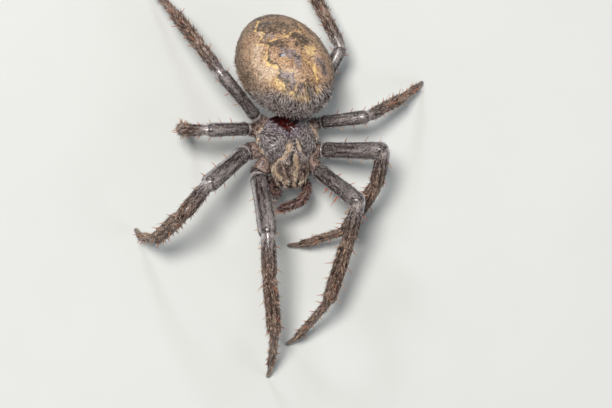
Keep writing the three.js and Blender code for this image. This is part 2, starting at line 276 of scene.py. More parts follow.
def addObject(name, data):
    made = bpy.data.objects.new(name, data)
    bpy.context.scene.collection.objects.link(made)
    return made


def applyModifier(piece, kind, **settings):
    pick(piece)
    modifier = piece.modifiers.new(kind.lower(), kind)
    for key, value in settings.items():
        setattr(modifier, key, value)
    bpy.ops.object.modifier_apply(modifier=modifier.name)


def getPoints(piece):
    return readAll(piece.data.vertices, "co")


def getNormals(piece):
    return readAll(piece.data.vertices, "normal")


def setPoints(piece, points):
    piece.data.vertices.foreach_set("co", np.asarray(points, np.float32).ravel())
    piece.data.update()


def setFields(piece, **fields):  # numbers or vectors kept at every point, for the materials
    for name, values in fields.items():
        values = np.asarray(values, np.float32)
        kind, key = ("FLOAT", "value") if values.ndim == 1 else ("FLOAT_VECTOR", "vector")
        field = piece.data.attributes.new(name, kind, "POINT")
        field.data.foreach_set(key, values.ravel())


def sortMesh(piece):  # points and faces in an order that is the same on every run
    points = getPoints(piece)
    order = np.lexsort(points.T)
    rank = np.argsort(order).tolist()
    faces = []
    for face in piece.data.polygons:
        corners = [rank[corner] for corner in face.vertices]
        first = corners.index(min(corners))
        faces.append(corners[first:] + corners[:first])
    faces.sort()
    piece.data.clear_geometry()
    piece.data.from_pydata(points[order].tolist(), [], faces)
    piece.data.update()
    return faces


def copyNode(name, node):  # a merged copy of a CAD node, a thousand times as large
    twin = addObject(name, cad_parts[node].data.copy())
    twin.data.materials.clear()
    setPoints(twin, getPoints(twin) / mm)
    pick(twin)
    startEdit()
    bpy.ops.mesh.remove_doubles(threshold=0.001)
    bpy.ops.object.mode_set(mode="OBJECT")
    return twin


def modelRod(name, corners, rings, axis):  # rings: place along the axis, thickness; none is a tip
    startClean()
    turn = (0, math.pi / 2 * axis[0], 0)
    start = {"radius": rings[0][1], "location": (0, 0, 0), "rotation": turn}
    bpy.ops.mesh.primitive_circle_add(vertices=corners, fill_type="NGON", **start)
    rod = bpy.context.object
    rod.name = name
    bpy.ops.object.transform_apply(location=True, rotation=True, scale=True)
    startEdit()
    for (before, wide), (after, narrow) in zip(rings, rings[1:]):
        step = [along * (after - before) for along in axis]
        bpy.ops.mesh.extrude_region_move(TRANSFORM_OT_translate={"value": step})
        if narrow:
            shares = [1 if along else narrow / wide for along in axis]
            bpy.ops.transform.resize(value=shares, center_override=[along * after for along in axis])
        else:
            bpy.ops.mesh.merge(type="CENTER")
    return rod, endEdit(rod)


def modelLimb(name, corners, rings):  # straight along x
    limb = modelRod(name, corners, rings, (1, 0, 0))[0]
    applyModifier(limb, "SUBSURF", levels=1, render_levels=1)
    return limb


def finishPiece(piece, material, slot, *replaced):
    pick(piece)
    points = getPoints(piece) * mm
    points[:, 2] = np.maximum(points[:, 2], 0)
    setPoints(piece, points)
    bpy.ops.object.shade_smooth()
    piece.data.materials.clear()
    piece.data.materials.append(material)
    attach(piece, "root")
    if replaced:
        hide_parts(*replaced)


# Tools for materials


def shade(red, green, blue):  # a colour from 0 to 255, as a painter picks it
    channels = [value / 255 for value in (red, green, blue)]
    linear = [c / 12.92 if c < 0.04045 else ((c + 0.055) / 1.055) ** 2.4 for c in channels]
    return (*linear, 1)


class Wire:  # an output of a node, used in sums
    def __init__(self, recipe, socket):
        self.recipe = recipe
        self.socket = socket

    def __add__(self, other):
        return self.recipe.maths("ADD", self, other)

    def __sub__(self, other):
        return self.recipe.maths("SUBTRACT", self, other)

    def __rsub__(self, other):
        return self.recipe.maths("SUBTRACT", other, self)

    def __mul__(self, other):
        return self.recipe.maths("MULTIPLY", self, other)

    def __truediv__(self, other):
        return self.recipe.maths("DIVIDE", self, other)

    def __rtruediv__(self, other):
        return self.recipe.maths("DIVIDE", other, self)

    __radd__ = __add__
    __rmul__ = __mul__


class Recipe:  # one material and its nodes
    def __init__(self, name):
        self.material = bpy.data.materials.new(name)
        self.material.use_nodes = True
        self.tree = self.material.node_tree
        self.shader = self.tree.nodes["Principled BSDF"]

    def feed(self, socket, value):
        if isinstance(value, Wire):
            self.tree.links.new(value.socket, socket)
        else:
            socket.default_value = value

    def node(self, kind, settings, inputs, output=0):
        made = self.tree.nodes.new("ShaderNode" + kind)
        for key, value in settings.items():
            setattr(made, key, value)
        for key, value in inputs.items():
            self.feed(made.inputs[key], value)
        return Wire(self, made.outputs[output])

    def curve(self, value, places):
        drawn = self.node("FloatCurve", {}, {1: value})
        mapping = drawn.socket.node.mapping
        points = mapping.curves[0].points
        while len(points) < len(places):
            points.new(0.5, 0.5)
        for point, place in zip(points, places):
            point.location = place
        mapping.update()
        return drawn

    def maths(self, operation, *values):
        return self.node("Math", {"operation": operation}, dict(enumerate(values)))

    def vector(self, operation, *values, output=0):
        return self.node("VectorMath", {"operation": operation}, dict(enumerate(values)), output)

    def field(self, name, output="Vector"):
        return self.node("Attribute", {"attribute_name": name}, {}, output)

    def split(self, vector):
        return [self.node("SeparateXYZ", {}, {0: vector}, axis) for axis in range(3)]

    def step(self, value, low, high):
        ends = {"Value": value, "From Min": low, "From Max": high}
        return self.node("MapRange", {"interpolation_type": "SMOOTHSTEP"}, ends)

    def noise(self, place, scale, detail=3.0, roughness=0.55, distortion=0.0):
        looks = {"Vector": place, "Scale": scale, "Detail": detail, "Roughness": roughness}
        return self.node("TexNoise", {}, looks | {"Distortion": distortion})

    def spots(self, place, scale, detail, roughness, low, high, distortion=0.0):  # noise with clear edges
        return self.step(self.noise(place, scale, detail, roughness, distortion), low, high)

    def blend(self, factor, first, second, kind="MIX"):  # each tone is a wire, or a painter's colour
        first, second = [tone if isinstance(tone, Wire) else shade(*tone) for tone in (first, second)]
        settings = {"data_type": "RGBA", "blend_type": kind, "clamp_factor": True}
        return self.node("Mix", settings, {0: factor, 6: first, 7: second}, 2)

    def cover(self, tone, *layers):  # each layer is a share and a colour, laid over the ones before it
        for share, colour in layers:
            tone = self.blend(share, tone, colour)
        return tone

    def bump(self, height, strength, distance):
        inputs = {"Strength": strength, "Distance": distance, "Height": height}
        return self.node("Bump", {}, inputs)

    def finish(self, **sockets):
        for key, value in sockets.items():
            self.feed(self.shader.inputs[key.replace("_", " ")], value)
        return self.material


# Hairs, spines and claws are each modelled once, upright, and planted in numbers


def modelStrand(name, corners, rings):
    strand, faces = modelRod(name, corners, rings, (0, 0, 1))
    triangles = [(face[0], *pair) for face in faces for pair in zip(face[1:], face[2:])]
    points = getPoints(strand)
    bpy.data.objects.remove(strand)
    return points, np.array(triangles)


def makeTuft(strand, leans):  # strands side by side, which part towards their tips
    points, faces = strand
    parts = []
    for lean, height in leans:
        spread = (0.35 + 0.65 * points[:, 2]) * lean
        parts.append(np.stack([points[:, 0] * 0.46 + spread, points[:, 1] * 0.46, points[:, 2] * height], 1))
    every = [faces + number * len(points) for number in range(len(leans))]
    return np.concatenate(parts), np.concatenate(every)


shortHair = modelStrand("short_hair", 3, ((0, 0.5), (1, 0)))
longHair = modelStrand("long_hair", 3, ((0, 0.5), (0.45, 0.42), (1, 0)))
threeHairs = makeTuft(shortHair, ((-0.42, 0.85), (0.02, 1.0), (0.4, 0.8)))
twoHairs = makeTuft(shortHair, ((-0.26, 1.0), (0.26, 0.85)))
spine = modelStrand("spine", 6, ((0, 0.62), (0.03, 0.8), (0.07, 0.5), (0.4, 0.44), (0.75, 0.28), (1, 0)))
bakePatch = 0.003  # how much of a baked picture one hair takes
rootDepth = 0.03  # of a hair, under the skin
chances = {
    # how far hairs differ from each other, as shares, and how far they spread to the side
    "leg": {"lift": (0.5, 1.6), "length": (0.65, 1.25), "spread": 0.24},
    "palp": {"lift": (0.4, 1.6), "length": (0.65, 1.25), "spread": 0.2},
    "abdomen": {"lift": (0.4, 1.7), "length": (0.65, 1.3), "spread": 0.3},
    "carapace": {"lift": (0.4, 1.7), "length": (0.65, 1.3), "spread": 0.24},
    "shell": {"lift": (0.4, 1.7), "length": (0.6, 1.3), "spread": 0.3},
    "width": (0.8, 1.2),
}


def vary(values, low, high):
    return values * dice.uniform(low, high, len(values))


def sowRoots(piece, density, margin):  # random places on a skin, density being hairs on a square millimetre
    piece.data.calc_loop_triangles()
    faces = readAll(piece.data.loop_triangles, "vertices", int)
    points, normals = getPoints(piece), getNormals(piece)
    corners = points[faces]
    areas = np.linalg.norm(np.cross(corners[:, 1] - corners[:, 0], corners[:, 2] - corners[:, 0]), axis=1) / 2
    shares = areas * density[faces].mean(1)
    count = int(shares.sum())
    chosen = dice.choice(len(faces), count, p=shares / shares.sum())
    first, second = dice.random(count), dice.random(count)
    folded = first + second > 1
    first[folded], second[folded] = 1 - first[folded], 1 - second[folded]
    parts = np.stack([1 - first - second, first, second], 1)[:, :, None]

    def read(values):
        return (values[faces[chosen]] * parts).sum(1)

    normal = unit(read(normals))
    return read(points) - normal * margin, normal, read


# headings at lift degrees off the skin, along lies, spread at random
def leanStrands(normals, lies, lift, spread):
    side = np.cross(normals, lies)
    flat = lies - (lies * normals).sum(1, keepdims=True) * normals
    flat = unit(flat + side * (dice.normal(size=len(lies)) * spread)[:, None])
    angle = np.radians(lift)[:, None]
    return unit(flat * np.cos(angle) + normals * np.sin(angle))


def combHairs(normals, lies, look, kind):  # headings, lengths and widths; look is length, width and lift
    chance = chances[kind]
    length, width, lift = [np.ones(len(lies)) * value for value in look]
    if kind in ("abdomen", "carapace"):  # these draw their lengths first
        sizes = vary(length, *chance["length"])
    headings = leanStrands(normals, lies, vary(lift, *chance["lift"]), chance["spread"])
    if kind in ("leg", "palp", "shell"):
        sizes = vary(length, *chance["length"])
    return headings, sizes, vary(width, *chances["width"])


def plantStrands(name, pattern, roots, normals, headings, lengths, widths, curl, bakeMap, fields):
    template, faces = pattern
    count, size = len(roots), len(template)
    bendWays = -unit(normals - (normals * headings).sum(1, keepdims=True) * headings)
    turns = dice.uniform(0, 2 * math.pi, count)
    flanks = np.cross(headings, bendWays)
    across = bendWays * np.cos(turns)[:, None] + flanks * np.sin(turns)[:, None]
    other = np.cross(headings, across)
    up = template[:, 2][None, :, None]
    points = roots[:, None] + headings[:, None] * up * lengths[:, None, None]
    points = points + across[:, None] * template[:, 0][None, :, None] * widths[:, None, None]
    points = points + other[:, None] * template[:, 1][None, :, None] * widths[:, None, None]
    points = points + bendWays[:, None] * (up ** 2) * (curl * lengths)[:, None, None]
    mesh = bpy.data.meshes.new(name)
    every = (faces[None] + (np.arange(count) * size)[:, None, None]).reshape(-1, 3)
    mesh.vertices.add(count * size)
    mesh.vertices.foreach_set("co", points.astype(np.float32).ravel())
    mesh.loops.add(every.size)
    mesh.loops.foreach_set("vertex_index", every.ravel().astype(np.int32))
    mesh.polygons.add(len(every))
    mesh.polygons.foreach_set("loop_start", np.arange(0, every.size, 3, dtype=np.int32))
    mesh.update(calc_edges=True)
    piece = addObject(name, mesh)
    setFields(piece, **{field: np.repeat(values, size, axis=0) for field, values in fields.items()})
    tints = np.repeat(dice.random((count, 2)), size, axis=0)
    setFields(piece, strand=np.column_stack([tints, np.tile(template[:, 2], count)]))
    patch = np.stack([template[:, 2] - 0.5, template[:, 0]], 1) * bakePatch
    corners = (bakeMap[:, None] * (1 - 2 * bakePatch) + bakePatch + patch[None]).reshape(-1, 2)[every.ravel()]
    layer = mesh.uv_layers.new(name="OFBake")
    layer.data.foreach_set("uv", corners.astype(np.float32).ravel())
    return piece


# Legs

legShape = {
    "corners": 16, "skinShare": 0.93,  # the coat takes the rest of a leg's thickness
    "jointBlend": 0.35, "spacing": 50,  # how far apart the legs lie in the materials' grain
    # share of the part's length, share of its thickness
    "coxa": ((0, 0.7), (0.2, 0.96), (0.5, 1.06), (0.8, 1.12), (0.9, 1.1), (0.945, 1.0), (0.96, 0.84)),
    "femur": ((0, 0.78), (0.008, 0.88), (0.03, 0.94), (0.055, 0.92), (0.068, 0.84), (0.076, 0.76),
              (0.084, 0.8), (0.094, 0.98), (0.12, 1.0), (0.24, 0.94), (0.5, 0.98), (0.8, 1.03), (0.93, 1.07),
              (0.985, 1.05)),
    "patella": ((0, 0.84), (0.02, 0.87), (0.12, 0.96), (0.5, 1.03), (0.88, 1.03), (0.975, 0.98)),
    "tibia": ((0, 0.86), (0.02, 0.9), (0.08, 0.99), (0.3, 1.04), (0.6, 1.0), (0.9, 0.97), (0.975, 0.94)),
    "metatarsus": ((0, 0.84), (0.03, 1.06), (0.09, 1.1), (0.35, 1.02), (0.7, 0.98), (0.93, 0.98),
                   (0.98, 0.95)),
    "tarsus": ((0, 0.84), (0.04, 0.94), (0.15, 1.0), (0.6, 0.93), (0.85, 0.86), (0.96, 0.72), (1, 0.42)),
}
legStreaks = (
    # degrees from the back, half width, first and last place
    (57, 10, 1.1, 1.95), (-57, 10, 1.1, 1.95), (20, 7, 1.12, 1.6), (-22, 7, 1.15, 1.75),
    (22, 9, 2.2, 2.97), (-24, 9, 2.25, 2.97), (60, 10, 2.2, 2.9), (-60, 10, 2.2, 2.9),
    (14, 8, 3.05, 3.75), (-30, 8, 3.1, 3.9), (50, 8, 3.1, 3.9), (-10, 10, 4.1, 4.8),
)


def markLeg(straight, place):  # dark streaks that run along a leg, and pale edges along the femur's flanks, painted rim light
    angle = np.degrees(np.arctan2(straight[:, 1], straight[:, 2]))
    along = straight * (1, 0, 0)
    drift = makeRipples(along, 3.0, 61) * 7
    broken = smoothStep(makeRipples(along + angle[:, None] / 15, 1.3, 63), -1.1, 0.0)
    dark = np.zeros(len(place))
    for at, wide, first, last in legStreaks:
        near = 1 - smoothStep(np.abs(angle - at - drift), wide * 0.4, wide * 1.2)
        window = smoothStep(place, first, first + 0.1) * (1 - smoothStep(place, last - 0.1, last))
        dark = np.maximum(dark, near * window * broken)
    # painted rim light: pale edges along the flanks of the femur
    edge = 1 - smoothStep(np.abs(np.abs(angle) - 81), 8, 18)
    pale = edge * smoothStep(place, 1.1, 1.2) * (1 - smoothStep(place, 2.0, 2.4))
    return np.stack([dark, pale, np.zeros(len(place))], 1)


def measureLeg(plan, place):  # millimetres along a leg and its thickness there, for places from 0 to 6
    which = np.clip(place.astype(int), 0, len(legParts) - 1)
    along = plan["stations"][which] + (place - which) * plan["lengths"][which]
    ends = plan["stations"][1:-1]
    blend = legShape["jointBlend"]
    knots = np.stack([ends - blend, ends + blend], 1).ravel()
    return along, np.interp(along, knots, np.repeat(plan["thickness"], 2)[1:-1])


def layLimb(name, pattern, plan, straight, shift):
    skin = addObject(name, pattern.data.copy())
    setPoints(skin, layAlong(plan, straight)[0])
    setFields(skin, place=straight + (shift, 0, 0))
    return {"skin": skin, "straight": straight, "plan": plan, "shift": shift}


def layLeg(pattern, leg):
    plan = legPlans[leg]
    points = getPoints(pattern)
    place = np.clip(points[:, 0], 0, len(legParts))
    along, thick = measureLeg(plan, place)
    straight = np.stack([along, points[:, 1] * thick, points[:, 2] * thick], 1)
    straight[:, 1:] *= legShape["skinShare"]
    limb = layLimb(f"leg_{leg}_skin", pattern, plan, straight, legNames.index(leg) * legShape["spacing"])
    setFields(limb["skin"], segment=place, marks=markLeg(straight, place))
    return limb | {"place": place, "kind": "leg"}


legRows = [(number + share, thick) for number, kind in enumerate(legParts) for share, thick in legShape[kind]]
legPattern = modelLimb("leg_pattern", legShape["corners"], legRows)
legs = {leg: layLeg(legPattern, leg) for leg in legNames}
bpy.data.objects.remove(legPattern)
print("legs laid")

# Palps are made in the same way, along lines given from the hips' plane, left, rear and up

palpShape = {
    "corners": 14, "thickness": 0.46, "shifts": {"left": 400, "right": 420},
    "rings": ((0, 0.8), (0.06, 0.95), (0.16, 0.9), (0.3, 0.98), (0.335, 0.84), (0.37, 0.98), (0.46, 1.04),
              (0.495, 0.88), (0.53, 1.0), (0.64, 1.06), (0.68, 0.9), (0.72, 1.02), (0.86, 1.0),
              (0.95, 0.82), (1, 0.42)),
    "right": ((-2.35, -3.2, -1.3), (-2.45, -3.7, -0.5), (-2.35, -4.6, -0.2), (-1.6, -5.2, -0.6),
              (-0.7, -5.3, -1.3)),
    "left": ((2.35, -3.3, -1.2), (2.5, -4.0, -0.4), (2.5, -5.3, 0.4), (1.8, -6.4, 0.2), (0.5, -7.0, -0.4),
             (-1.0, -7.3, -1.1)),
}


def layPalp(pattern, side):
    joints = trunkAxes.outside(np.array(palpShape[side]))
    headings = unit(np.diff(joints, axis=0))
    acrosses = unit(np.cross((0, 0, 1), headings))
    frames = np.stack([headings, acrosses, np.cross(headings, acrosses)], 1)
    plan = drawCurve({"joints": joints, "frames": frames, "bows": np.zeros(len(headings))})
    straight = getPoints(pattern) * (plan["stations"][-1], palpShape["thickness"], palpShape["thickness"])
    limb = layLimb(f"palp_{side}_skin", pattern, plan, straight, palpShape["shifts"][side])
    return limb | {"place": np.zeros(len(straight)), "kind": "palp"}


# Body plates

carapaceShape = {"voxel": 0.1, "smoothing": 12, "inside": 0.07}
abdomenShape = {"voxel": 0.115, "smoothing": 20, "inside": 0.22}
undersideShape = {"voxel": 0.09, "smoothing": 4, "inside": 0.05, "insideLegs": 0.22}
jawShape = {"voxel": 0.06, "smoothing": 3, "inside": 0.02}


def makePlate(name, shape, node):
    plate = copyNode(name, node)
    applyModifier(plate, "REMESH", mode="VOXEL", voxel_size=shape["voxel"])
    applyModifier(plate, "SMOOTH", factor=0.6, iterations=shape["smoothing"])
    setPoints(plate, getPoints(plate) - getNormals(plate) * shape["inside"])
    return plate


carapace = makePlate("carapace_plate", carapaceShape, "carapace")
abdomen = makePlate("abdomen_skin", abdomenShape, "abdomen")
underside = makePlate("underside", undersideShape, "sternum_with_coxae")
stalk = makePlate("pedicel_skin", undersideShape, "pedicel")
spinnerets = makePlate("spinneret_group", jawShape, "spinnerets")
jaws = {side: makePlate(f"chelicera_{side}_shell", jawShape, f"chelicera_{side}") for side in sides}
undersidePlaces = trunkAxes.inside(getPoints(underside))
coxaShare = smoothStep(np.abs(undersidePlaces[:, 0]), 1.6, 2.4)  # the legs' skins cover the coxae
sunken = getNormals(underside) * (coxaShare * undersideShape["insideLegs"])[:, None]
setPoints(underside, getPoints(underside) - sunken)
palpPattern = modelLimb("palp_pattern", palpShape["corners"], palpShape["rings"])
palps = {side: layPalp(palpPattern, side) for side in sides}
bpy.data.objects.remove(palpPattern)
print("plates made")

# Markings are drawn on the plates' own axes, and skin and coat both read them


def nearLine(points, line, width):  # 1 along a line drawn from point to point, fading to 0 over its width
    best = np.full(len(points), 1e9)
    for start, end in zip(np.array(line[:-1], float), np.array(line[1:], float)):
        step = end - start
        share = np.clip((points - start) @ step / (step @ step), 0, 1)
        best = np.minimum(best, np.linalg.norm(points - start - share[:, None] * step, axis=1))
    return 1 - smoothStep(best, width * 0.35, width)


def nearLines(points, *lines):  # each line with its width and strength; the strongest one counts
    found = np.zeros(len(points))
    for line, width, strength in lines:
        found = np.maximum(found, nearLine(points, line, width) * strength)
    return found


def inPatches(points, patches):
    return nearLines(points, *[(line, wide * 1.35, 1) for line, wide in patches])


def inSpots(points, spots, edge):  # 1 inside round spots, each given as its middle and radius
    found = np.zeros(len(points))
    for x, y, radius in spots:
        away = np.linalg.norm(points - (x, y), axis=1)
        found = np.maximum(found, 1 - smoothStep(away, radius * (1 - edge), radius))
    return found


def wobble(places, size, amount, seed):  # shifts a flat pattern so that its edges wander
    shift = [makeRipples(places, size, seed + turn) for turn in (0, 1)]
    return places[:, :2] + amount * np.stack(shift, 1)


abdomenRelief = {
    # small dimples in pairs along the back, all of one radius and depth
    "dimples": ((-1.9, -2.3), (0.0, -2.4), (-2.9, -5.0), (-1.3, -5.2), (-1.3, 0.6), (0.3, 0.7), (-0.8, 3.2),
                (0.6, 3.3)),
    "radius": 0.28, "depth": 0.1, "folds": 0.02, "foldSize": 0.55, "lumps": 0.03, "lumpSize": 2.2,
}


def carveAbdomen():
    relief = abdomenRelief
    points, normals = getPoints(abdomen), getNormals(abdomen)
    places = abdomenAxes.inside(points)
    above = smoothStep(places[:, 2], 0.5, 1.5)
    depth = inSpots(places[:, :2], [(*spot, relief["radius"]) for spot in relief["dimples"]], 0.9)
    folds = makeRipples(places * (1, 1.6, 1), relief["foldSize"], 43)
    lumps = makeRipples(places, relief["lumpSize"], 45)
    move = depth * above * relief["depth"] + folds * relief["folds"] + lumps * relief["lumps"]
    setPoints(abdomen, points - normals * move[:, None])


carveAbdomen()

abdomenMarks = {
    # drawn on the back, seen from above, with the front at negative numbers
    # a patch is a line and its half width
    "edgeLeft": ((-2.3, 4.9), (-3.1, 3.3), (-2.8, 2.3), (-2.8, 1.9), (-3.4, 1.3), (-3.8, 1.0), (-3.7, 0.5),
                 (-3.3, -0.1), (-3.3, -0.6), (-3.6, -1.1), (-3.9, -1.7), (-4.0, -2.0), (-3.8, -2.4),
                 (-3.4, -3.0), (-3.1, -3.7), (-3.0, -4.0), (-3.3, -4.2), (-3.5, -4.6), (-3.2, -5.0),
                 (-2.9, -5.4), (-2.6, -5.9), (-2.6, -6.2), (-2.2, -6.5), (-1.4, -7.0), (-0.5, -7.3)),
    "edgeRight": ((2.0, 4.4), (2.6, 3.4), (2.1, 2.4), (2.1, 1.1), (2.3, 0.6), (2.6, -0.3), (3.1, -0.7),
                  (3.8, -1.1)),
    "innerRight": ((1.6, -1.5), (0.9, -1.9), (0.6, -2.5), (0.4, -3.5), (0.9, -3.9), (1.2, -4.6),
                   (1.3, -5.3), (1.6, -5.9), (1.2, -6.9), (0.9, -7.3)),
    "crossLine": ((-2.6, 0.6), (-1.4, 0.2), (-0.2, 0.2), (0.9, 0.9), (2.1, 1.2)),
    "orangeLines": (((-2.7, -2.6), (-2.2, -3.0), (-1.9, -3.6), (-1.5, -3.9)), ((-2.3, -2.6), (-1.6, -3.2)),
                    ((-1.5, -4.7), (-1.1, -5.6), (-0.6, -6.1)), ((-2.7, -3.3), (-2.2, -4.0), (-1.7, -4.6))),
    "darkPatches": ((((-2.5, 4.2), (-1.8, 3.7)), 0.6), (((-2.1, 2.6), (-1.4, 1.7)), 0.62),
                    (((-0.4, 2.9), (0.3, 1.5)), 0.75), (((-2.7, 1.9), (-3.5, 1.1)), 0.26),
                    (((-2.6, 0.0), (-2.0, -0.3), (-1.5, -0.7)), 0.72),
                    (((0.3, 0.5), (0.9, 0.2), (1.3, -0.3)), 0.8),
                    (((0.5, -1.1), (1.1, -1.2), (1.8, -0.9)), 0.5), (((2.9, 1.9), (3.4, 0.9)), 0.4),
                    (((1.2, 2.4), (1.7, 1.8)), 0.35), (((0.7, -2.0), (0.7, -2.3)), 0.24),
                    (((-3.3, -0.9), (-3.8, -1.9)), 0.22), (((-2.2, -2.1), (-2.1, -2.2)), 0.2),
                    (((-0.6, -2.8), (-0.1, -3.3)), 0.2), (((2.8, -3.9), (2.9, -4.7)), 0.36),
                    (((0.1, -6.1), (0.2, -7.3)), 0.4), (((-3.3, -4.9), (-2.9, -5.3), (-2.4, -6.0)), 0.2),
                    (((-5.6, -1.4), (-5.5, -1.9)), 0.22), (((3.9, -0.3), (4.6, -1.4)), 0.26),
                    (((2.1, 0.4), (2.2, -0.7)), 0.22), (((-2.6, -5.1), (-2.1, -5.9)), 0.18),
                    (((1.0, -6.5), (0.7, -7.5)), 0.22), (((-0.4, 5.6), (0.5, 5.4)), 0.6),
                    (((2.2, 4.0), (2.4, 3.4)), 0.4), (((-1.9, 6.2), (-1.4, 5.4)), 0.45),
                    (((1.5, 6.2), (1.8, 5.4)), 0.4)),
    "hazePatches": ((((-4.1, 0.9), (-4.8, -1.4), (-4.5, -3.6)), 1.1), (((1.6, -2.2), (2.2, -3.2)), 0.9),
                    (((-2.6, -4.2), (-0.9, -5.6)), 0.8)),
    "greyPatches": ((((-2.7, 1.6), (-2.2, 1.0)), 0.3), (((-2.8, -4.4), (-1.7, -5.5)), 0.55),
                    (((-0.4, -3.5), (-0.4, -4.3)), 0.42), (((-1.2, -6.1), (-0.4, -6.7)), 0.4),
                    (((-1.1, -2.5), (-0.3, -3.1)), 0.4), (((-2.6, 4.2), (-1.7, 3.5)), 0.6),
                    (((-1.6, -1.6), (-0.6, -2.2)), 0.45), (((2.7, -3.6), (2.9, -4.8)), 0.6)),
    "goldPatches": ((((1.6, -2.6), (1.7, -2.7)), 0.55), (((1.7, -4.2), (1.4, -5.3), (1.7, -5.8)), 0.26),
                    (((1.0, -7.0), (1.9, -6.7)), 0.24), (((-4.6, -4.2), (-4.2, -4.5)), 0.45),
                    (((-3.7, -5.2), (-2.9, -6.0)), 0.6), (((-2.8, -6.0), (-2.7, -6.6)), 0.32),
                    (((-2.1, -6.8), (-0.3, -7.5)), 0.46), (((-1.6, -7.3), (-0.2, -7.7)), 0.4),
                    (((-5.2, -3.0), (-4.3, -5.0)), 0.22), (((1.2, -1.8), (2.6, -1.8)), 0.26)),
    "palePatches": ((((-4.1, 0.5), (-4.7, -1.4)), 0.5), (((-4.0, -2.9), (-3.3, -3.7)), 0.46),
                    (((-2.9, 2.5), (-3.3, 2.0)), 0.4), (((-4.0, -3.7), (-4.0, -4.2)), 0.32),
                    (((-0.8, -7.1), (-0.4, -7.2)), 0.2), (((-2.1, -4.2), (-1.2, -4.8)), 0.32),
                    (((-1.9, -2.4), (-1.9, -2.5)), 0.16), (((1.5, -2.4), (1.9, -3.0)), 0.4),
                    (((-4.6, -2.2), (-4.4, -3.4)), 0.4)),
    "bellyComma": ((1.9, -2.6), (2.1, 0), (1.5, 2.0)), "commaWidth": 0.6,
    "dot": ((-2.0, -2.3), (-1.9, -2.3)), "dotSize": 0.26,
    "besideDot": ((-2.2, -2.1), (-2.2, -2.2)), "besideSize": 0.34,
    # width and strength of the gold lines
    "goldLines": {"edgeLeft": (0.23, 1), "edgeRight": (0.22, 0.8), "crossLine": (0.24, 0.85),
                  "innerRight": (0.2, 0.55)},
    "orangeLook": (0.13, 0.65),
    # where dark lines run beside the gold ones, their width and strength
    "besideGold": {"edgeLeft": ((-0.27, 0.03), 0.26, 1), "edgeRight": ((0.22, 0.05), 0.2, 1),
                   "innerRight": ((0.18, 0.02), 0.15, 0.6)},
    "wobbles": ((1.3, 0.14, 5), (0.5, 0.09, 9), (0.24, 0.05, 13)), "torn": (0.34, 0.2, 23),
    "goldStrength": 0.85, "hazeStrength": 0.24, "paleStrength": 0.8,
}


def markAbdomen(places):  # gold, dark and pale, then grey
    marks = abdomenMarks
    drawn = places.copy()
    for size, amount, seed in marks["wobbles"]:
        drawn[:, :2] = wobble(drawn, size, amount, seed)
    flat = drawn[:, :2]
    torn = wobble(drawn, *marks["torn"])
    above = smoothStep(places[:, 2], -0.6, 1.2)
    lines = [(marks[name], *look) for name, look in marks["goldLines"].items()]
    lines += [(orange, *marks["orangeLook"]) for orange in marks["orangeLines"]]
    line = nearLines(flat, *lines)
    line = line * (0.6 + 0.4 * smoothStep(makeRipples(places, 0.7, 51), -0.6, 0.4))
    inner = np.zeros(len(places))
    for name, (shift, width, strength) in marks["besideGold"].items():
        inner = np.maximum(inner, nearLine(flat + shift, marks[name], width) * strength)
    gold = np.maximum(line, inPatches(flat, marks["goldPatches"]) * marks["goldStrength"])
    streaks = smoothStep(makeRipples(places * (1, 0.22, 0.5), 0.55, 31), 0.2, 0.9)
    frontZone = smoothStep(-flat[:, 1], 5.2, 6.4) * (1 - smoothStep(np.abs(flat[:, 0] + 1.4), 1.6, 2.8))
    frontZone = frontZone * (1 - smoothStep(-flat[:, 1], 7.3, 7.7))
    gold = np.maximum(gold, streaks * frontZone * 0.6)
    gold = gold * smoothStep(places[:, 2] + 0.25 * places[:, 0], 1.0, 2.1)
    blotches = smoothStep(makeRipples(places * (1, 0.6, 0.7), 0.5, 33), 0.15, 0.7)
    rows = smoothStep(makeRipples(places * (1, 0.45, 0.7), 0.42, 35), 0.35, 0.75)
    flanks = smoothStep(-flat[:, 0], 4.0, 4.8) + smoothStep(flat[:, 0], 1.9, 2.9)
    dark = np.maximum(inPatches(torn, marks["darkPatches"]), inner * 0.95)
    dark = np.maximum(dark * (1 - line), blotches * np.maximum(frontZone, gold * 0.4) * 0.85)
    dark = np.maximum(dark, rows * np.clip(flanks, 0, 1) * 0.55)
    dark = np.maximum(dark, nearLine(places[:, :2], marks["besideDot"], marks["besideSize"]))
    folded = np.abs(places)
    belly = smoothStep(-places[:, 2], 2.2, 3.2)
    band = belly * (1 - smoothStep(folded[:, 0], 1.4, 2.2)) * (1 - smoothStep(folded[:, 1], 4, 5.5))
    commas = nearLine(np.stack([folded[:, 0], places[:, 1]], 1), marks["bellyComma"], marks["commaWidth"])
    dark = np.maximum(dark * above, band * 0.9)
    haze = inPatches(flat, marks["hazePatches"]) * marks["hazeStrength"]
    pale = np.maximum(inPatches(torn, marks["palePatches"]) * marks["paleStrength"], haze)
    pale = np.maximum(pale * above, commas * belly * 0.9)
    grey = inPatches(torn, marks["greyPatches"]) * above
    return np.stack([gold * above, dark, pale], 1), grey


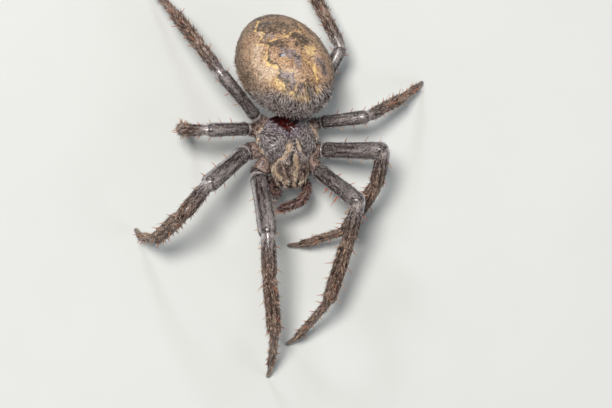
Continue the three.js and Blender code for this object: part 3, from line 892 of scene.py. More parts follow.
carapaceRelief = {
    # grooves and swellings of the shield: drawn line, width, depth in millimetres (below zero is a swelling)
    "pit": (((0.1, 2.4), (0.1, 1.5)), 0.6, 0.45),
    "neckRight": (((-0.1, 1.5), (-1.1, 0.0), (-2.4, -1.0), (-3.1, -2.2)), 0.85, 0.5),
    "neckLeft": (((0.2, 1.5), (1.3, 0.0), (2.6, -0.9), (3.2, -2.1)), 0.85, 0.5),
    "furrowRightFront": (((-0.5, 1.7), (-3.4, 0.4)), 0.55, 0.13),
    "furrowLeftFront": (((0.6, 1.7), (3.5, 0.6)), 0.55, 0.13),
    "furrowRightRear": (((-0.5, 2.2), (-3.3, 2.6)), 0.55, 0.13),
    "furrowLeftRear": (((0.6, 2.2), (3.3, 2.6)), 0.55, 0.13),
    "headRight": (((-1.2, -1.6), (-1.3, -3.2)), 1.3, -0.1),
    "headLeft": (((1.2, -1.6), (1.2, -3.2)), 1.3, -0.1),
    "headMiddle": (((0.1, -0.8), (0.1, -3.4)), 0.5, 0.08),
    "eyeMound": (((-0.3, -4.3), (0.4, -4.3)), 0.7, -0.1),
    "rimRight": (((-2.2, 3.9), (-3.6, 2.3), (-3.7, 0.6), (-3.0, -1.0)), 0.4, 0.12),
    "rimLeft": (((2.4, 3.7), (3.4, 2.2), (3.3, 0.4), (2.9, -1.0)), 0.4, 0.12),
}


def carveCarapace():
    points, normals = getPoints(carapace), getNormals(carapace)
    places = trunkAxes.inside(points)
    top = smoothStep(places[:, 2], 1.5, 2.0)
    depth = np.zeros(len(points))
    for line, width, deep in carapaceRelief.values():
        depth += nearLine(places[:, :2], line, width) * deep
    depth += makeRipples(points, 0.5, 41) * 0.012
    setPoints(carapace, points - normals * (depth * top)[:, None])
    applyModifier(carapace, "SMOOTH", factor=0.5, iterations=4)


carveCarapace()

carapaceMarks = {
    # from the middle of the shield, with the eyes at negative numbers
    "loop": ((0.1, 1.0), (-0.5, -0.3), (-1.2, -0.9), (-2.0, -1.5), (-2.2, -2.7), (-1.6, -3.9), (-0.2, -4.4),
             (1.3, -4.2), (2.1, -3.7), (2.4, -2.5), (2.1, -1.4), (1.3, -0.7), (1.0, 0.4), (0.7, 1.0)),
    "middleBand": ((0.3, -0.6), (0.2, -2.2), (0.1, -4.1)),
    "rightRim": ((-2.9, 3.7), (-4.0, 2.2), (-4.0, 0.8), (-2.9, -1.5), (-2.5, -2.6)),
    "leftRim": ((3.3, 3.0), (3.8, 1.4), (3.5, -0.4), (2.9, -2.1)),
    "darkStreak": ((-0.2, -0.5), (-0.3, -1.4), (-0.8, -2.4)),
    "shadows": (((-0.2, 0.9), (-1.1, -0.3), (-2.3, -1.2), (-2.7, -2.6)),
                ((1.0, 0.9), (1.5, -0.2), (2.4, -1.1), (2.7, -2.4)),
                ((-1.7, -1.9), (-1.8, -3.2)), ((1.7, -1.8), (1.8, -3.2)), ((0.4, -0.9), (0.7, -2.2))),
    "darkSpots": ((-0.85, -2.6, 0.5), (1.2, -2.9, 0.55), (-0.7, -3.3, 0.4), (-1.2, -2.0, 0.3)),
    "goldSpots": ((-0.35, 0.35, 0.45), (0.95, 0.3, 0.4)),
    # width and strength of the cream lines, the dark streak and the shadows
    "creamLines": {"loop": (0.24, 1), "middleBand": (0.32, 0.85), "rightRim": (0.34, 0.9),
                   "leftRim": (0.22, 0.6)},
    "streakLook": (0.28, 1), "shadowLook": (0.3, 0.7), "spotEdge": 0.6,
    "wobbles": ((0.9, 0.12, 17), (0.3, 0.07, 19)), "fanWobble": (0.5, 0.16, 21), "middle": 0.05,
}


def fromMiddle(places):
    return np.abs(places[:, 0] - carapaceMarks["middle"])


def fanShare(places):  # the bare, shiny fan at the rear of the shield
    return smoothStep(places[:, 1] - 1.5 - fromMiddle(places) * 0.95, 0.0, 0.7)


def markCarapace(places):  # cream, dark (marks and painted shadows) and red-brown, then a painted lavender sheen on the bare rear flanks
    marks = carapaceMarks
    drawn = places.copy()
    for size, amount, seed in marks["wobbles"]:
        drawn[:, :2] = wobble(drawn, size, amount, seed)
    drawn = drawn[:, :2]
    cream = nearLines(drawn, *[(marks[name], *look) for name, look in marks["creamLines"].items()])
    cream = np.maximum(cream, inSpots(drawn, marks["goldSpots"], marks["spotEdge"]))
    shadows = [(line, *marks["shadowLook"]) for line in marks["shadows"]]
    dark = nearLines(drawn, (marks["darkStreak"], *marks["streakLook"]), *shadows)
    dark = np.maximum(dark, inSpots(drawn, marks["darkSpots"], marks["spotEdge"])) * (1 - cream)
    side = fromMiddle(places)
    # a painted lavender sheen on the bare rear flanks, returned as the grey field
    sheen = smoothStep(places[:, 1] - side * 0.75, 0.5, 1.3) * smoothStep(3.4 - side, 0, 0.8)
    return np.stack([cream, dark, fanShare(wobble(places, *marks["fanWobble"]))], 1), sheen


def markDot(places):  # a small pale blue dot
    return nearLine(places[:, :2], abdomenMarks["dot"], abdomenMarks["dotSize"]) * (places[:, 2] > 0)


abdomenPlaces = abdomenAxes.inside(getPoints(abdomen))
carapacePlaces = trunkAxes.inside(getPoints(carapace))
for plate, places, mark in ((abdomen, abdomenPlaces, markAbdomen), (carapace, carapacePlaces, markCarapace)):
    # on the carapace the grey field holds the painted sheen, on the abdomen its grey patches
    marks, grey = mark(places)
    setFields(plate, place=places, marks=marks, grey=grey)
for plate in (underside, stalk, spinnerets, *jaws.values()):
    setFields(plate, place=trunkAxes.inside(getPoints(plate)), cover=np.ones(len(plate.data.vertices)))
setFields(abdomen, dot=markDot(abdomenPlaces))
for plate in (abdomen, *[palp["skin"] for palp in palps.values()]):
    setFields(plate, cover=np.ones(len(plate.data.vertices)))
print("markings drawn")

# Eyes: a bead in a low collar, facing away from the head

eyeShape = {"segments": 28, "rings": 18, "collarWidth": 1.3, "collarStep": 0.02, "collarHeight": 0.35,
            "bevel": 0.06, "sunk": 0.15, "headMiddle": (0.05, -2.6, 1.9)}


def modelEye(node):
    low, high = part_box(node)
    middle = readMiddle(node)
    radius = (high - low).length / math.sqrt(3) / 2 / mm
    startClean()
    size = {"segments": eyeShape["segments"], "ring_count": eyeShape["rings"], "radius": radius}
    bpy.ops.mesh.primitive_uv_sphere_add(location=(0, 0, 0), **size)
    eye = bpy.context.object
    eye.name = node + "_bead"
    bpy.ops.object.mode_set(mode="EDIT")
    bpy.ops.mesh.select_all(action="DESELECT")
    bpy.ops.object.mode_set(mode="OBJECT")
    for face in eye.data.polygons:  # the back half is drawn out into a socket with a collar
        face.select = face.center.z < -0.05 * radius
    bpy.ops.object.mode_set(mode="EDIT")
    step, height = (0, 0, -eyeShape["collarStep"] * radius), (0, 0, -eyeShape["collarHeight"] * radius)
    bpy.ops.mesh.extrude_region_move(TRANSFORM_OT_translate={"value": step})
    share = eyeShape["collarWidth"]
    bpy.ops.transform.resize(value=(share, share, 1), center_override=(0, 0, 0))
    bpy.ops.mesh.extrude_region_move(TRANSFORM_OT_translate={"value": height})
    endEdit(eye)
    width = eyeShape["bevel"] * radius
    applyModifier(eye, "BEVEL", width=width, segments=2, limit_method="ANGLE", angle_limit=0.7)
    outwards = unit(middle - trunkAxes.outside(eyeShape["headMiddle"]))
    turn = np.array(Vector(outwards).to_track_quat("Z", "Y").to_matrix())
    points = getPoints(eye)
    setFields(eye, shine=smoothStep(points[:, 2], -0.06 * radius, 0.05 * radius))
    setPoints(eye, points @ turn.T + middle - outwards * radius * eyeShape["sunk"])
    return eye


eyeNodes = [f"eye_{kind}_{side}" for kind in eyeKinds for side in sides]
eyes = {node: modelEye(node) for node in eyeNodes}
eyeMiddles = np.array([readMiddle(node) for node in eyeNodes])
print("eyes made")

# Coats. A hair lies along its leg or plate, on a skin that is still drawn in millimetres

legCoat = {
    # tufts on a square millimetre, their length, width and lift in degrees
    "coxa": (26, 0.34, 0.08, 15), "femur": (42, 0.42, 0.115, 11), "patella": (36, 0.48, 0.125, 16),
    "tibia": (40, 0.54, 0.128, 18), "metatarsus": (44, 0.48, 0.118, 18), "tarsus": (62, 0.26, 0.1, 11),
}
legBristles = {
    "coxa": (4, 0.5, 0.04, 30), "femur": (3, 0.62, 0.045, 27), "patella": (7, 0.7, 0.048, 31),
    "tibia": (11, 0.76, 0.05, 33), "metatarsus": (13, 0.68, 0.05, 33), "tarsus": (6, 0.36, 0.036, 27),
}
fullCover = 24  # tufts on a square millimetre that hide the skin


def lookUp(table, column, place):  # a coat's value at a place along a limb, softened over the joints
    values = [row[column] for row in table.values()]
    knots = np.concatenate([(number + 0.05, number + 0.95) for number in range(len(table))])
    return np.interp(place, knots, np.repeat(values, 2))


def wrapAround(straight, length):  # a tube unrolled: along it, and round it
    turn = np.arctan2(straight[:, 2], straight[:, 1]) / 2 / math.pi + 0.5
    return np.clip(np.stack([straight[:, 0] / length, turn], 1), 0, 1)


def plantOnLimb(name, limb, pattern, roots, normals, headings, lengths, widths, curl, straight, fields):
    fields = {"place": straight + (limb["shift"], 0, 0)} | fields
    bakeMap = wrapAround(straight, limb["plan"]["stations"][-1])
    return plantStrands(name, pattern, roots, normals, headings, lengths, widths, curl, bakeMap, fields)


def thinLegCoat(straight, place):  # the ring beyond the coxa and a strip along the back are nearly bare
    ring = 1 - 0.93 * smoothStep(place, 0.93, 0.96) * (1 - smoothStep(place, 1.085, 1.1))
    back = straight[:, 2] / np.maximum(np.hypot(straight[:, 1], straight[:, 2]), 1e-6)
    strip = smoothStep(back, 0.76, 0.96) * smoothStep(place, 1.3, 1.5) * (1 - smoothStep(place, 2.12, 2.3))
    knee = 1 - smoothStep(np.abs(place - 2.03), 0.03, 0.08)
    hidden = smoothStep(place, 0.25, 0.4)
    return ring * (1 - 0.9 * strip) * (1 - 0.85 * knee) * hidden


def coatLimb(name, limb, table, pattern, curl):
    straight, place = limb["straight"], limb["place"]
    onLeg = limb["kind"] == "leg"
    density = lookUp(table, 0, place)
    if onLeg:
        density *= thinLegCoat(straight, place)
    if table is legCoat:
        setFields(limb["skin"], cover=np.minimum(density / fullCover, 1))
    roots, normals, read = sowRoots(limb["skin"], density, rootDepth)
    spots, shares = read(straight), read(place[:, None])[:, 0]
    lies = layAlong(limb["plan"], spots)[1][:, 0]
    look = [lookUp(table, column, shares) for column in (1, 2, 3)]
    headings, sizes, widths = combHairs(normals, lies, look, limb["kind"])
    fields = {"segment": shares, "marks": markLeg(spots, shares)} if onLeg else {}
    return plantOnLimb(name, limb, pattern, roots, normals, headings, sizes, widths, curl, spots, fields)


def coatLimbs(limbs, table, pattern, curl, ending):
    made = {}
    for key, limb in limbs.items():
        made[key] = coatLimb(f"{limb['kind']}_{key}_{ending}", limb, table, pattern, curl)
    return made


legCoats = coatLimbs(legs, legCoat, threeHairs, 0.2, "hair")
legLongCoats = coatLimbs(legs, legBristles, longHair, 0.22, "bristles")
print("legs coated")

# Spines stand in rows on the two flanks and the back of a leg

spineRows = {
    # the rows' angles round the leg, spines in a row, first and last place, length, lift
    "femur": ((0, 180), 3, 0.42, 0.94, 0.85, 62), "patella": ((10, 170), 2, 0.3, 0.85, 0.85, 62),
    "tibia": ((0, 75, 180), 4, 0.14, 0.92, 1.0, 60), "metatarsus": ((5, 100, 175), 4, 0.1, 0.86, 0.85, 54),
}
spineSize = {
    "width": 0.125, "curl": 0.08, "innerRow": 9, "innerShare": 0.8, "longLift": 78, "usualFemur": 1.22,
    # chances: of the place, of the angle in degrees, and shares of length, lift and width
    "places": 0.03, "angles": 12, "longAngles": 15, "lengths": (0.75, 1.35), "lifts": (0.8, 1.2),
    "widths": (0.85, 1.15), "spread": 0.12, "root": 0.97,
}
longSpines = ((1.45, 1.0), (1.52, 0.8), (1.64, 1.7), (1.68, 0.7))  # place and length, on the first femora


def plantSpines(leg):
    limb = legs[leg]
    plan = limb["plan"]
    size = plan["thickness"][1] / spineSize["usualFemur"]
    onRight = leg.startswith("right")
    spots, lengths, lifts = [], [], []

    def stand(where, angle, length, lift):
        spots.append((where, math.cos(angle), math.sin(angle)))
        lengths.append(length)
        lifts.append(lift)

    for kind, (rows, count, first, last, length, lift) in spineRows.items():
        number = legParts.index(kind)
        for row in rows:
            # the second legs' front row is close and short
            innerSide = row < 45 if onRight else row > 135
            stout = leg.endswith("2") and innerSide and kind != "femur"
            total = spineSize["innerRow"] if stout and kind == "tibia" else count
            for along in np.linspace(first, last, total):
                where = number + along + dice.uniform(-spineSize["places"], spineSize["places"])
                angle = math.radians(row + dice.uniform(-spineSize["angles"], spineSize["angles"]))
                long = length * size * dice.uniform(*spineSize["lengths"])
                long *= spineSize["innerShare"] if stout else 1
                stand(where, angle, long, lift * dice.uniform(*spineSize["lifts"]))
    if leg.endswith("1"):  # the first femora carry a few long spines on their inner side
        for where, length in longSpines:
            angle = (0 if onRight else 180) + dice.uniform(-spineSize["longAngles"], spineSize["longAngles"])
            stand(where, math.radians(angle), length, spineSize["longLift"])
    spots = np.array(spots)
    along, thick = measureLeg(plan, spots[:, 0])
    reach = thick * legShape["skinShare"] * spineSize["root"]
    straight = np.stack([along, spots[:, 1] * reach, spots[:, 2] * reach], 1)
    roots, frames = layAlong(plan, straight)
    normals = unit(spots[:, 1:2] * frames[:, 1] + spots[:, 2:3] * frames[:, 2])
    headings = leanStrands(normals, frames[:, 0], np.array(lifts), spineSize["spread"])
    widths = vary(np.full(len(roots), spineSize["width"]), *spineSize["widths"])
    return plantOnLimb(f"leg_{leg}_spines", limb, spine, roots, normals, headings, np.array(lengths), widths,
                       spineSize["curl"], straight, {})


legSpines = {leg: plantSpines(leg) for leg in legNames}
print("spines planted")

# Two large claws and a small one at the end of each foot: turn to the side, droop, length
clawPlan = np.array(((-24, 34, 0.34), (24, 34, 0.34), (0, 52, 0.22)))
clawSize = {"width": 0.11, "curl": 0.5, "place": 5.965, "apart": 0.35, "up": 0.12, "rise": 0.3, "spread": 0.9,
            "droop": 0.35}


def plantClaws(leg):
    limb = legs[leg]
    count = len(clawPlan)
    along, thick = measureLeg(limb["plan"], np.full(count, clawSize["place"]))
    side = np.sin(np.radians(clawPlan[:, 0]))
    droop = np.radians(clawPlan[:, 1])[:, None]
    straight = np.stack([along, side * thick * clawSize["apart"], thick * clawSize["up"]], 1)
    roots, frames = layAlong(limb["plan"], straight)
    ahead = frames[:, 0] * (1, 1, clawSize["rise"])
    flat = unit(unit(ahead) + frames[:, 1] * side[:, None] * clawSize["spread"])
    headings = unit(flat * np.cos(droop) + np.array((0, 0, -1)) * np.sin(droop) * clawSize["droop"])
    normals = np.tile((0.0, 0.0, 1.0), (count, 1))
    widths = np.full(count, clawSize["width"])
    return plantOnLimb(f"leg_{leg}_claws", limb, spine, roots, normals, headings, clawPlan[:, 2], widths,
                       clawSize["curl"], straight, {})


legClaws = {leg: plantClaws(leg) for leg in legNames}
print("claws planted")

palpCoat = {"palp": (34, 0.55, 0.14, 42)}
palpBristles = {"palp": (14, 0.75, 0.06, 52)}
palpCoats = coatLimbs(palps, palpCoat, threeHairs, 0.0, "hair")
palpLongCoats = coatLimbs(palps, palpBristles, longHair, 0.15, "bristles")
print("palps coated")

abdomenCoat = {"density": 42, "length": 0.27, "width": 0.14, "lift": 14}
abdomenFringe = {"density": 26, "length": 0.9, "width": 0.075, "lift": 28}
hairMiddle = 0.45  # a hair is marked as the skin under its middle


def frontShare(places):  # the front and the lower sides wear longer hair
    return np.clip(smoothStep(-places[:, 1], 5.0, 7.4) + smoothStep(-places[:, 2], -0.6, 2.6), 0, 1)


def sideShare(places):
    return np.clip(frontShare(places) + smoothStep(-places[:, 2], -3.6, -1.2), 0, 1)


def coatAbdomen(name, pattern, coat, density, lengths, curl):
    places = abdomenAxes.inside(getPoints(abdomen))
    roots, normals, read = sowRoots(abdomen, density(places), rootDepth)
    spots = read(places)
    outwards = unit(spots * (1, 1, 0) + (0, 2, 0))  # away from a place a little ahead of the middle
    look = (lengths(spots), coat["width"], coat["lift"])
    headings, sizes, widths = combHairs(normals, outwards @ abdomenAxes.rows, look, "abdomen")
    turn = np.arctan2(spots[:, 2], spots[:, 0]) / 2 / math.pi + 0.5
    bakeMap = np.clip(np.stack([turn, spots[:, 1] / abdomenHalfLength / 2 + 0.5], 1), 0, 1)
    marks, grey = markAbdomen(spots + outwards * sizes[:, None] * hairMiddle)
    fields = {"place": spots, "marks": marks, "grey": grey, "dot": markDot(spots)}
    return plantStrands(name, pattern, roots, normals, headings, sizes, widths, curl, bakeMap, fields)


abdomenHair = coatAbdomen("abdomen_hair", twoHairs, abdomenCoat,
                          lambda p: abdomenCoat["density"] * (0.3 + 0.7 * sideShare(p)),
                          lambda p: abdomenCoat["length"] * (0.85 + 1.0 * frontShare(p)), 0.0)
abdomenLongHair = coatAbdomen("abdomen_long_hair", longHair, abdomenFringe,
                              lambda p: abdomenFringe["density"] * (0.04 + 0.96 * frontShare(p)),
                              lambda p: abdomenFringe["length"] * (0.55 + 0.45 * frontShare(p)), 0.12)
print("abdomen coated")

carapaceCoat = {"density": 62, "length": 0.44, "width": 0.085, "lift": 15}
carapaceFringe = {"density": 34, "length": 0.7, "width": 0.07, "lift": 26}
eyeGap = 0.34  # no hair this near the middle of an eye


def coatCarapace(name, pattern, coat, density, curl):
    places = trunkAxes.inside(getPoints(carapace))
    roots, normals, read = sowRoots(carapace, density(places), rootDepth)
    even = np.ones(len(roots))
    keep = np.linalg.norm(roots[:, None] - eyeMiddles[None], axis=2).min(1) > eyeGap
    spots = read(places)
    headwards = unit(np.stack([-0.32 * spots[:, 0], -even, -0.1 * even], 1))
    look = (coat["length"], coat["width"], coat["lift"])
    headings, sizes, widths = combHairs(normals, headwards @ trunkAxes.rows, look, "carapace")
    bakeMap = np.clip(np.stack([spots[:, 0] / 10 + 0.5, spots[:, 1] / 11 + 0.5], 1), 0, 1)
    # grey is the painted lavender sheen here
    marks, grey = markCarapace(spots + headwards * sizes[:, None] * hairMiddle)
    fields = {"place": spots[keep], "marks": marks[keep], "grey": grey[keep]}
    return plantStrands(name, pattern, roots[keep], normals[keep], headings[keep], sizes[keep], widths[keep],
                        curl, bakeMap[keep], fields)


def carapaceDensity(places):
    side = fromMiddle(places)
    bare = smoothStep(places[:, 1] - 0.95 * side, 1.3, 2.0)
    sheen = smoothStep(places[:, 1] - side * 0.75, 0.7, 1.5)
    cream = markCarapace(places + (0, -0.2, 0))[0][:, 0]
    hairy = smoothStep(places[:, 2], 1.2, 1.6) * (1 - 0.95 * bare) * (1 - 0.45 * sheen)
    return carapaceCoat["density"] * hairy * (1 + 1.2 * cream)


def headDensity(places):  # longer hair hangs over the front of the head and out over the rim
    top = smoothStep(places[:, 2], 1.4, 2.0)
    front = smoothStep(-places[:, 1], 3.3, 4.2) * top
    rim = smoothStep(np.abs(places[:, 0]), 3.2, 3.7) * smoothStep(places[:, 2], 1.15, 1.4) * 0.35
    return carapaceFringe["density"] * np.maximum(front, np.maximum(rim, 0.08 * top))


setFields(carapace, cover=np.minimum(carapaceDensity(carapacePlaces) / carapaceCoat["density"], 1))
carapaceHair = coatCarapace("carapace_hair", threeHairs, carapaceCoat, carapaceDensity, 0.0)
carapaceLongHair = coatCarapace("carapace_long_hair", longHair, carapaceFringe, headDensity, 0.2)
print("carapace coated")

shellCoat = {"density": 26, "length": 0.4, "width": 0.055, "lift": 25, "rootDepth": 0.02, "curl": 0.1}


def coatShell(name, piece, lie, flat):  # jaws, underside and spinnerets, whose hair points along lie
    places = trunkAxes.inside(getPoints(piece))
    low, high = places.min(0), places.max(0)
    density = np.full(len(places), float(shellCoat["density"]))
    roots, normals, read = sowRoots(piece, density, shellCoat["rootDepth"])
    spots = read(places)
    lies = np.tile(np.array(lie, float) @ trunkAxes.rows, (len(roots), 1))
    look = (shellCoat["length"], shellCoat["width"], shellCoat["lift"])
    headings, sizes, widths = combHairs(normals, lies, look, "shell")
    share = (spots - low) / (high - low)
    facing = (normals @ trunkAxes.rows.T)[:, flat[2]] > 0
    bakeMap = np.clip(np.stack([share[:, flat[0]] * 0.5 + facing * 0.5, share[:, flat[1]]], 1), 0, 1)
    return plantStrands(name, longHair, roots, normals, headings, sizes, widths, shellCoat["curl"], bakeMap,
                        {"place": spots})


shellCoats = [coatShell(f"chelicera_{side}_hair", jaws[side], (0, -0.3, -1), (0, 2, 1)) for side in sides]
shellCoats.append(coatShell("underside_hair", underside, (0, 1, 0), (0, 1, 2)))
shellCoats.append(coatShell("spinneret_hair", spinnerets, (0, 0.7, -1), (0, 2, 1)))
print("shells coated")

# Colours. Each one is painted the same on skin and on hair, as tone, grain, calm share and pale tint


def paintAbdomen(recipe):
    place = recipe.field("place")
    gold, dark, pale = recipe.split(recipe.field("marks"))
    across, ahead, height = recipe.split(place)
    fine = recipe.spots(place, 5.0, 3, 0.8, 0.4, 0.6)
    broad = recipe.spots(place, 0.9, 4, 0.65, 0.38, 0.62)
    cloud = recipe.spots(place, 0.4, 3, 0.6, 0.42, 0.6)
    specks = recipe.spots(place, 2.6, 2, 0.6, 0.6, 0.66, 0.6)
    worn = recipe.spots(place, 2.0, 3, 0.7, 0.36, 0.54)
    dot = recipe.step(recipe.field("dot", "Fac"), 0.3, 0.7)
    silver = recipe.step(ahead + height * 1.1, -2.0, -4.6)
    side = recipe.blend(fine, (60, 44, 36), (164, 136, 114))
    tone = recipe.cover(
        recipe.blend(fine, (98, 62, 40), (234, 190, 144)),
        (broad * 0.35, (206, 174, 152)),
        (cloud * 0.35, (118, 88, 68)),
        (specks * 0.6, (70, 46, 34)),
        (recipe.step(height, 3.2, 0.6), side),
        (recipe.step(ahead, 1.8, 4.2) * 0.65, side),
        # painted shade: the right flank darker, as it falls away from the light
        (recipe.step(across, 2.0, 4.4) * 0.35, (84, 60, 46)),
        (silver, recipe.blend(fine, (36, 28, 27), (182, 166, 158))),
        (pale * 0.75, recipe.blend(fine, (216, 182, 150), (252, 232, 206))),
        (recipe.field("grey", "Fac") * 0.75, recipe.blend(fine, (92, 80, 84), (158, 148, 152))),
        (gold * 0.9, recipe.blend(fine, (190, 132, 68), (252, 214, 146))),
        (recipe.step(gold, 0.6, 0.95) * 0.6, (255, 222, 152)),
        (dark * (worn * 0.45 + 0.5), recipe.blend(fine, (26, 20, 18), (96, 80, 62))),
        (dot * 0.85, (184, 200, 218)))
    return tone, place, gold * 0.8, recipe.blend(silver, (156, 130, 102), (186, 174, 168))


def paintCarapace(recipe):
    place = recipe.field("place")
    cream, dark, bare = recipe.split(recipe.field("marks"))
    fine = recipe.spots(place, 4.5, 3, 0.75, 0.4, 0.6)
    broad = recipe.spots(place, 0.8, 3, 0.6, 0.35, 0.65)
    head = recipe.step(recipe.split(place)[1], -0.6, -2.4)
    glow = recipe.step(cream, 0.05, 0.7) * 0.92
    middle = recipe.blend(fine, (78, 66, 78), (136, 124, 140))
    tone = recipe.cover(
        recipe.blend(fine, (36, 26, 25), (196, 184, 181)),
        (broad * 0.15, (150, 138, 150)),
        (head * 0.55, (166, 128, 98)),
        # dark marks, with painted shadows along the neck grooves and head
        (dark * 0.85, (30, 22, 22)),
        (glow, recipe.blend(fine, (188, 134, 90), (255, 238, 210))),
        # painted lavender sheen on the bare rear flanks
        (recipe.field("grey", "Fac") * 0.55, middle),
        (bare, recipe.blend(broad, (22, 8, 10), (78, 20, 15))))
    tint = recipe.cover(
        recipe.blend(head * 0.6, (206, 192, 188), (198, 162, 130)),
        (cream, (232, 202, 166)),
        # hairs darker over the dark marks and the painted shadows
        (dark * 0.8, (76, 62, 56)))
    return tone, place, cream * 0.85, tint


# darker below a half and paler above it, along a leg from its coxa to its foot
# the pale band at the trochanter, between two dark arcs, is a painted highlight
legRings = ((0, 0.3), (0.05, 0.4), (0.12, 0.5), (0.138, 0.35), (0.15, 0.0), (0.166, 0.0), (0.169, 0.8),
            (0.177, 0.8), (0.18, 0.0), (0.187, 0.05), (0.194, 0.5), (0.3, 0.5), (0.32, 0.7), (0.328, 0.4),
            (0.333, 0.15), (0.337, 0.75), (0.35, 0.6), (0.42, 0.45), (0.465, 0.3), (0.488, 0.6),
            (0.497, 0.0), (0.504, 0.6), (0.54, 0.5), (0.58, 0.3), (0.61, 0.55), (0.645, 0.5), (0.658, 0.2),
            (0.667, 0.0), (0.675, 0.7), (0.76, 0.5), (0.8, 0.35), (0.832, 0.05), (0.842, 0.6), (0.9, 0.6),
            (0.96, 0.75), (1, 0.9))


def paintLeg(recipe):
    place = recipe.field("place")
    segment = recipe.field("segment", "Fac")
    streaks, rimLitEdges, _ = recipe.split(recipe.field("marks"))
    stretched = recipe.vector("MULTIPLY", place, (0.4, 2.2, 2.2))
    streak = recipe.spots(stretched, 1.0, 3, 0.6, 0.42, 0.58)
    fine = recipe.spots(place, 4.4, 3, 0.8, 0.4, 0.6)
    mottle = recipe.spots(place, 2.2, 4, 0.75, 0.36, 0.6)
    rings = recipe.curve(segment / len(legParts), legRings)
    far = recipe.step(segment, 1.9, 3.0)
    deep = recipe.blend(far, (36, 26, 24), (38, 19, 14))
    light = recipe.blend(far, (172, 161, 156), (208, 174, 150))
    tone = recipe.cover(
        recipe.blend(fine * 0.6 + streak * 0.35, deep, light),
        # painted rim light along the femur's flanks
        (rimLitEdges * 0.85, (214, 208, 210)),
        (streaks * 0.92, (44, 20, 16)),
        (recipe.step(segment, 1.0, 0.9) * 0.7, recipe.blend(mottle, (58, 28, 22), (226, 190, 172))),
        (recipe.step(rings, 0.48, 0.0) * 0.8, (40, 20, 16)),
        (recipe.step(rings, 0.52, 1.0) * 0.6, (200, 186, 180)))
    tint = recipe.blend(far, (172, 166, 170), (182, 150, 134))
    # tufts stay pale along the painted rim light
    return tone, place, rimLitEdges * 0.9, recipe.blend(streaks * 0.9, tint, (70, 44, 38))


def paintPalp(recipe):
    place = recipe.field("place")
    fine = recipe.spots(place, 4.2, 3, 0.75, 0.4, 0.6)
    broad = recipe.spots(place, 1.1, 3, 0.6, 0.4, 0.6)
    tone = recipe.blend(fine, (26, 13, 12), (148, 112, 104))
    return recipe.blend(broad * 0.35, tone, (92, 48, 38)), place, 0.0, (150, 122, 112)


def paintShell(recipe):
    place = recipe.field("place")
    _, ahead, height = recipe.split(place)
    fine = recipe.spots(place, 3.0, 4, 0.7, 0.35, 0.65)
    broad = recipe.spots(place, 0.7, 3, 0.6, 0.4, 0.6)
    fang = recipe.step(height, -2.15, -2.4) * recipe.step(ahead, -1.8, -2.2)
    tone = recipe.cover(recipe.blend(fine, (40, 22, 19), (88, 58, 50)),
                        (broad * 0.4, (60, 26, 20)), (fang, (20, 9, 8)))
    return tone, place, 0.0, (110, 92, 84)


# some tufts are dark and some pale, but for calm places, which stay pale
def tintHair(recipe, tone, calm, paleTint):
    light, warmth, _ = recipe.split(recipe.field("strand"))
    tone = recipe.blend(recipe.step(warmth, 0.6, 1.0) * 0.25, tone, (160, 110, 80))
    darkShare = recipe.step(light, 0.42, 0.34) * 0.95 * (1 - calm)
    tone = recipe.blend(darkShare, tone, (92, 72, 66), "MULTIPLY")
    return recipe.blend(recipe.step(light, 0.46, 0.7), tone, paleTint, "SCREEN")


finishes = {
    # paint, roughness, size and depth of the relief, the coat's roughness, painted shade on the skin under it
    "leg": (paintLeg, 0.2, 5, 0.04, 0.36, 0.5),
    "carapace": (paintCarapace, 0.24, 5, 0.04, 0.36, 0.45),
    "abdomen": (paintAbdomen, 0.5, 4, 0.06, 0.42, 0.1),
    "palp": (paintPalp, 0.35, 5, 0.04, 0.4, 0.3),
    "shell": (paintShell, 0.25, 4, 0.03, 0.4, 0.0),
}


def makeSkinFinish(name):
    paint, roughness, size, depth, _, shadeUnderCoat = finishes[name]
    recipe = Recipe(f"{name}_skin_finish")
    tone, place = paint(recipe)[:2]
    # painted shade: the skin darker where the coat over it is dense
    tone = recipe.blend(recipe.field("cover", "Fac") * shadeUnderCoat, tone, (30, 19, 16))
    relief = recipe.bump(recipe.noise(place, size, 4, 0.65), 0.7, depth * mm)
    return recipe.finish(Base_Color=tone, Roughness=roughness, Normal=relief)


def makeHairFinish(name):
    recipe = Recipe(f"{name}_hair_finish")
    tone, _, calm, tint = finishes[name][0](recipe)
    return recipe.finish(Base_Color=tintHair(recipe, tone, calm, tint), Roughness=finishes[name][4])


def makeSpineFinish():
    recipe = Recipe("spine_finish")
    light, warmth, tip = recipe.split(recipe.field("strand"))
    tone = recipe.cover(recipe.blend(recipe.step(light, 0.45, 0.6), (164, 86, 44), (190, 152, 118)),
                        (recipe.step(warmth, 0.5, 1.0) * 0.5, (112, 60, 36)),
                        (recipe.step(tip, 0.12, 0.0) * 0.7, (70, 40, 30)),
                        (tip * 0.3, (204, 164, 126)))
    return recipe.finish(Base_Color=tone, Roughness=0.32)


def makeClawFinish():
    recipe = Recipe("claw_finish")
    tip = recipe.split(recipe.field("strand"))[2]
    return recipe.finish(Base_Color=recipe.blend(tip, (52, 28, 20), (18, 10, 9)), Roughness=0.25)


def makeEyeFinish():
    recipe = Recipe("eye_finish")
    shine = recipe.field("shine", "Fac")
    place = recipe.node("TexCoord", {}, {}, 3)
    glass = recipe.blend(recipe.noise(place, 3000, 2), (16, 9, 7), (44, 26, 16))
    tone = recipe.blend(shine, (46, 30, 26), glass)
    return recipe.finish(Base_Color=tone, Roughness=0.5 - shine * 0.44)


skinFinish = {name: makeSkinFinish(name) for name in finishes}
hairFinish = {name: makeHairFinish(name) for name in finishes}
spineFinish = makeSpineFinish()
clawFinish = makeClawFinish()
eyeFinish = makeEyeFinish()

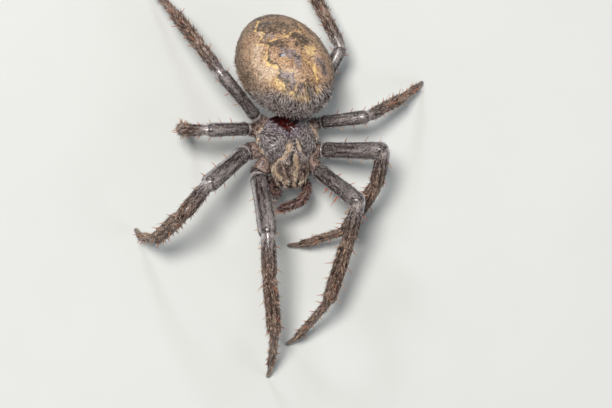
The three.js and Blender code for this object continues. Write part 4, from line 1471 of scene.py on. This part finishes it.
for leg in legNames:
    finishPiece(legs[leg]["skin"], skinFinish["leg"], "leg_skin", *[f"leg_{leg}_{kind}" for kind in segments])
    finishPiece(legCoats[leg], hairFinish["leg"], "leg_hair")
    finishPiece(legLongCoats[leg], hairFinish["leg"], "leg_hair")
    finishPiece(legSpines[leg], spineFinish, "spine")
    finishPiece(legClaws[leg], clawFinish, "claw")
finishPiece(carapace, skinFinish["carapace"], "carapace_skin", "carapace")
finishPiece(abdomen, skinFinish["abdomen"], "abdomen_skin", "abdomen")
bodyCoats = {"carapace": (carapaceHair, carapaceLongHair), "abdomen": (abdomenHair, abdomenLongHair),
             "shell": shellCoats}
for kind, coats in bodyCoats.items():
    for coat in coats:
        finishPiece(coat, hairFinish[kind], "body_hair")
for plate, node in ((underside, "sternum_with_coxae"), (stalk, "pedicel"), (spinnerets, "spinnerets")):
    finishPiece(plate, skinFinish["shell"], "dark_skin", node)
for side in sides:
    finishPiece(jaws[side], skinFinish["shell"], "dark_skin", f"chelicera_{side}")
    finishPiece(palps[side]["skin"], skinFinish["palp"], "palp_skin", f"palp_{side}")
    finishPiece(palpCoats[side], hairFinish["palp"], "body_hair")
    finishPiece(palpLongCoats[side], hairFinish["palp"], "body_hair")
for node, eye in eyes.items():
    finishPiece(eye, eyeFinish, "eye", node)
print("finishes given")

# Floor, light and camera

view = {
    # degrees, then millimetres; the aim is past the middle of the carapace
    "turn": 5.5, "lean": 8.0, "distance": 320, "width": 76.5, "slideAcross": 2.25, "slideDown": 6.75,
    "aimAcross": 0.1, "aimAlong": 0.125, "height": 9.0, "sensor": 36,
}
lights = {
    # place, aim, size, power, colour
    "key": ((-0.14, 0.1, 0.6), (0, 0, 0.005), 0.15, 4.0, (1, 0.98, 0.96)),
    "fill": ((0.4, -0.2, 0.4), (0, 0, 0.005), 0.4, 0.6, (0.9, 0.95, 1)),
    "rim": ((-0.12, 0.5, 0.34), (0, 0, 0.01), 0.12, 0.8, (0.82, 0.9, 1)),
}


def addFloor():
    startClean()
    bpy.ops.mesh.primitive_plane_add(size=4, location=(0, 0, 0))
    floor = bpy.context.object
    floor.name = "floor"
    recipe = Recipe("floor_paint")
    place = recipe.node("TexCoord", {}, {}, 3)
    tone = recipe.blend(recipe.noise(place, 40, 3), (205, 205, 200), (212, 212, 207))
    floor.data.materials.append(recipe.finish(Base_Color=tone, Roughness=0.9))


def addLight(name, place, aim, size, power, colour):
    data = bpy.data.lights.new(name, "AREA")
    data.shape = "DISK"
    data.size = size
    data.energy = power
    data.color = colour
    light = addObject(name, data)
    light.location = place
    light.rotation_euler = (Vector(aim) - Vector(place)).to_track_quat("-Z", "Y").to_euler()


def addCamera():
    turn, lean = math.radians(view["turn"]), math.radians(view["lean"])
    out = Vector((-math.sin(lean), 0, math.cos(lean)))
    right = Vector((math.cos(lean), 0, math.sin(lean)))
    ahead = Vector((0, 1, 0))
    wide = right * math.cos(turn) - ahead * math.sin(turn)
    high = ahead * math.cos(turn) + right * math.sin(turn)
    low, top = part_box("carapace")
    middle = (low + top) / 2 / mm
    aim = Vector((middle[0] + view["aimAcross"], middle[1] + view["aimAlong"], view["height"]))
    place = aim + wide * view["slideAcross"] - high * view["slideDown"] + out * view["distance"]
    data = bpy.data.cameras.new("camera")
    data.sensor_width = view["sensor"]
    data.lens = view["sensor"] * view["distance"] / view["width"]
    data.clip_start = 0.01
    data.clip_end = 10
    camera = addObject("camera", data)
    turned = Matrix((wide, high, out)).transposed().to_4x4()
    camera.matrix_world = Matrix.Translation([part * mm for part in place]) @ turned
    bpy.context.scene.camera = camera


def addWorld():
    world = bpy.data.worlds.new("studio")
    world.use_nodes = True
    background = world.node_tree.nodes["Background"]
    background.inputs["Color"].default_value = (0.82, 0.9, 1, 1)
    background.inputs["Strength"].default_value = 0.17
    bpy.context.scene.world = world


addFloor()
for name, looks in lights.items():
    addLight(name, *looks)
addWorld()
addCamera()
bpy.context.scene.view_settings.view_transform = "Standard"
print("stage set")
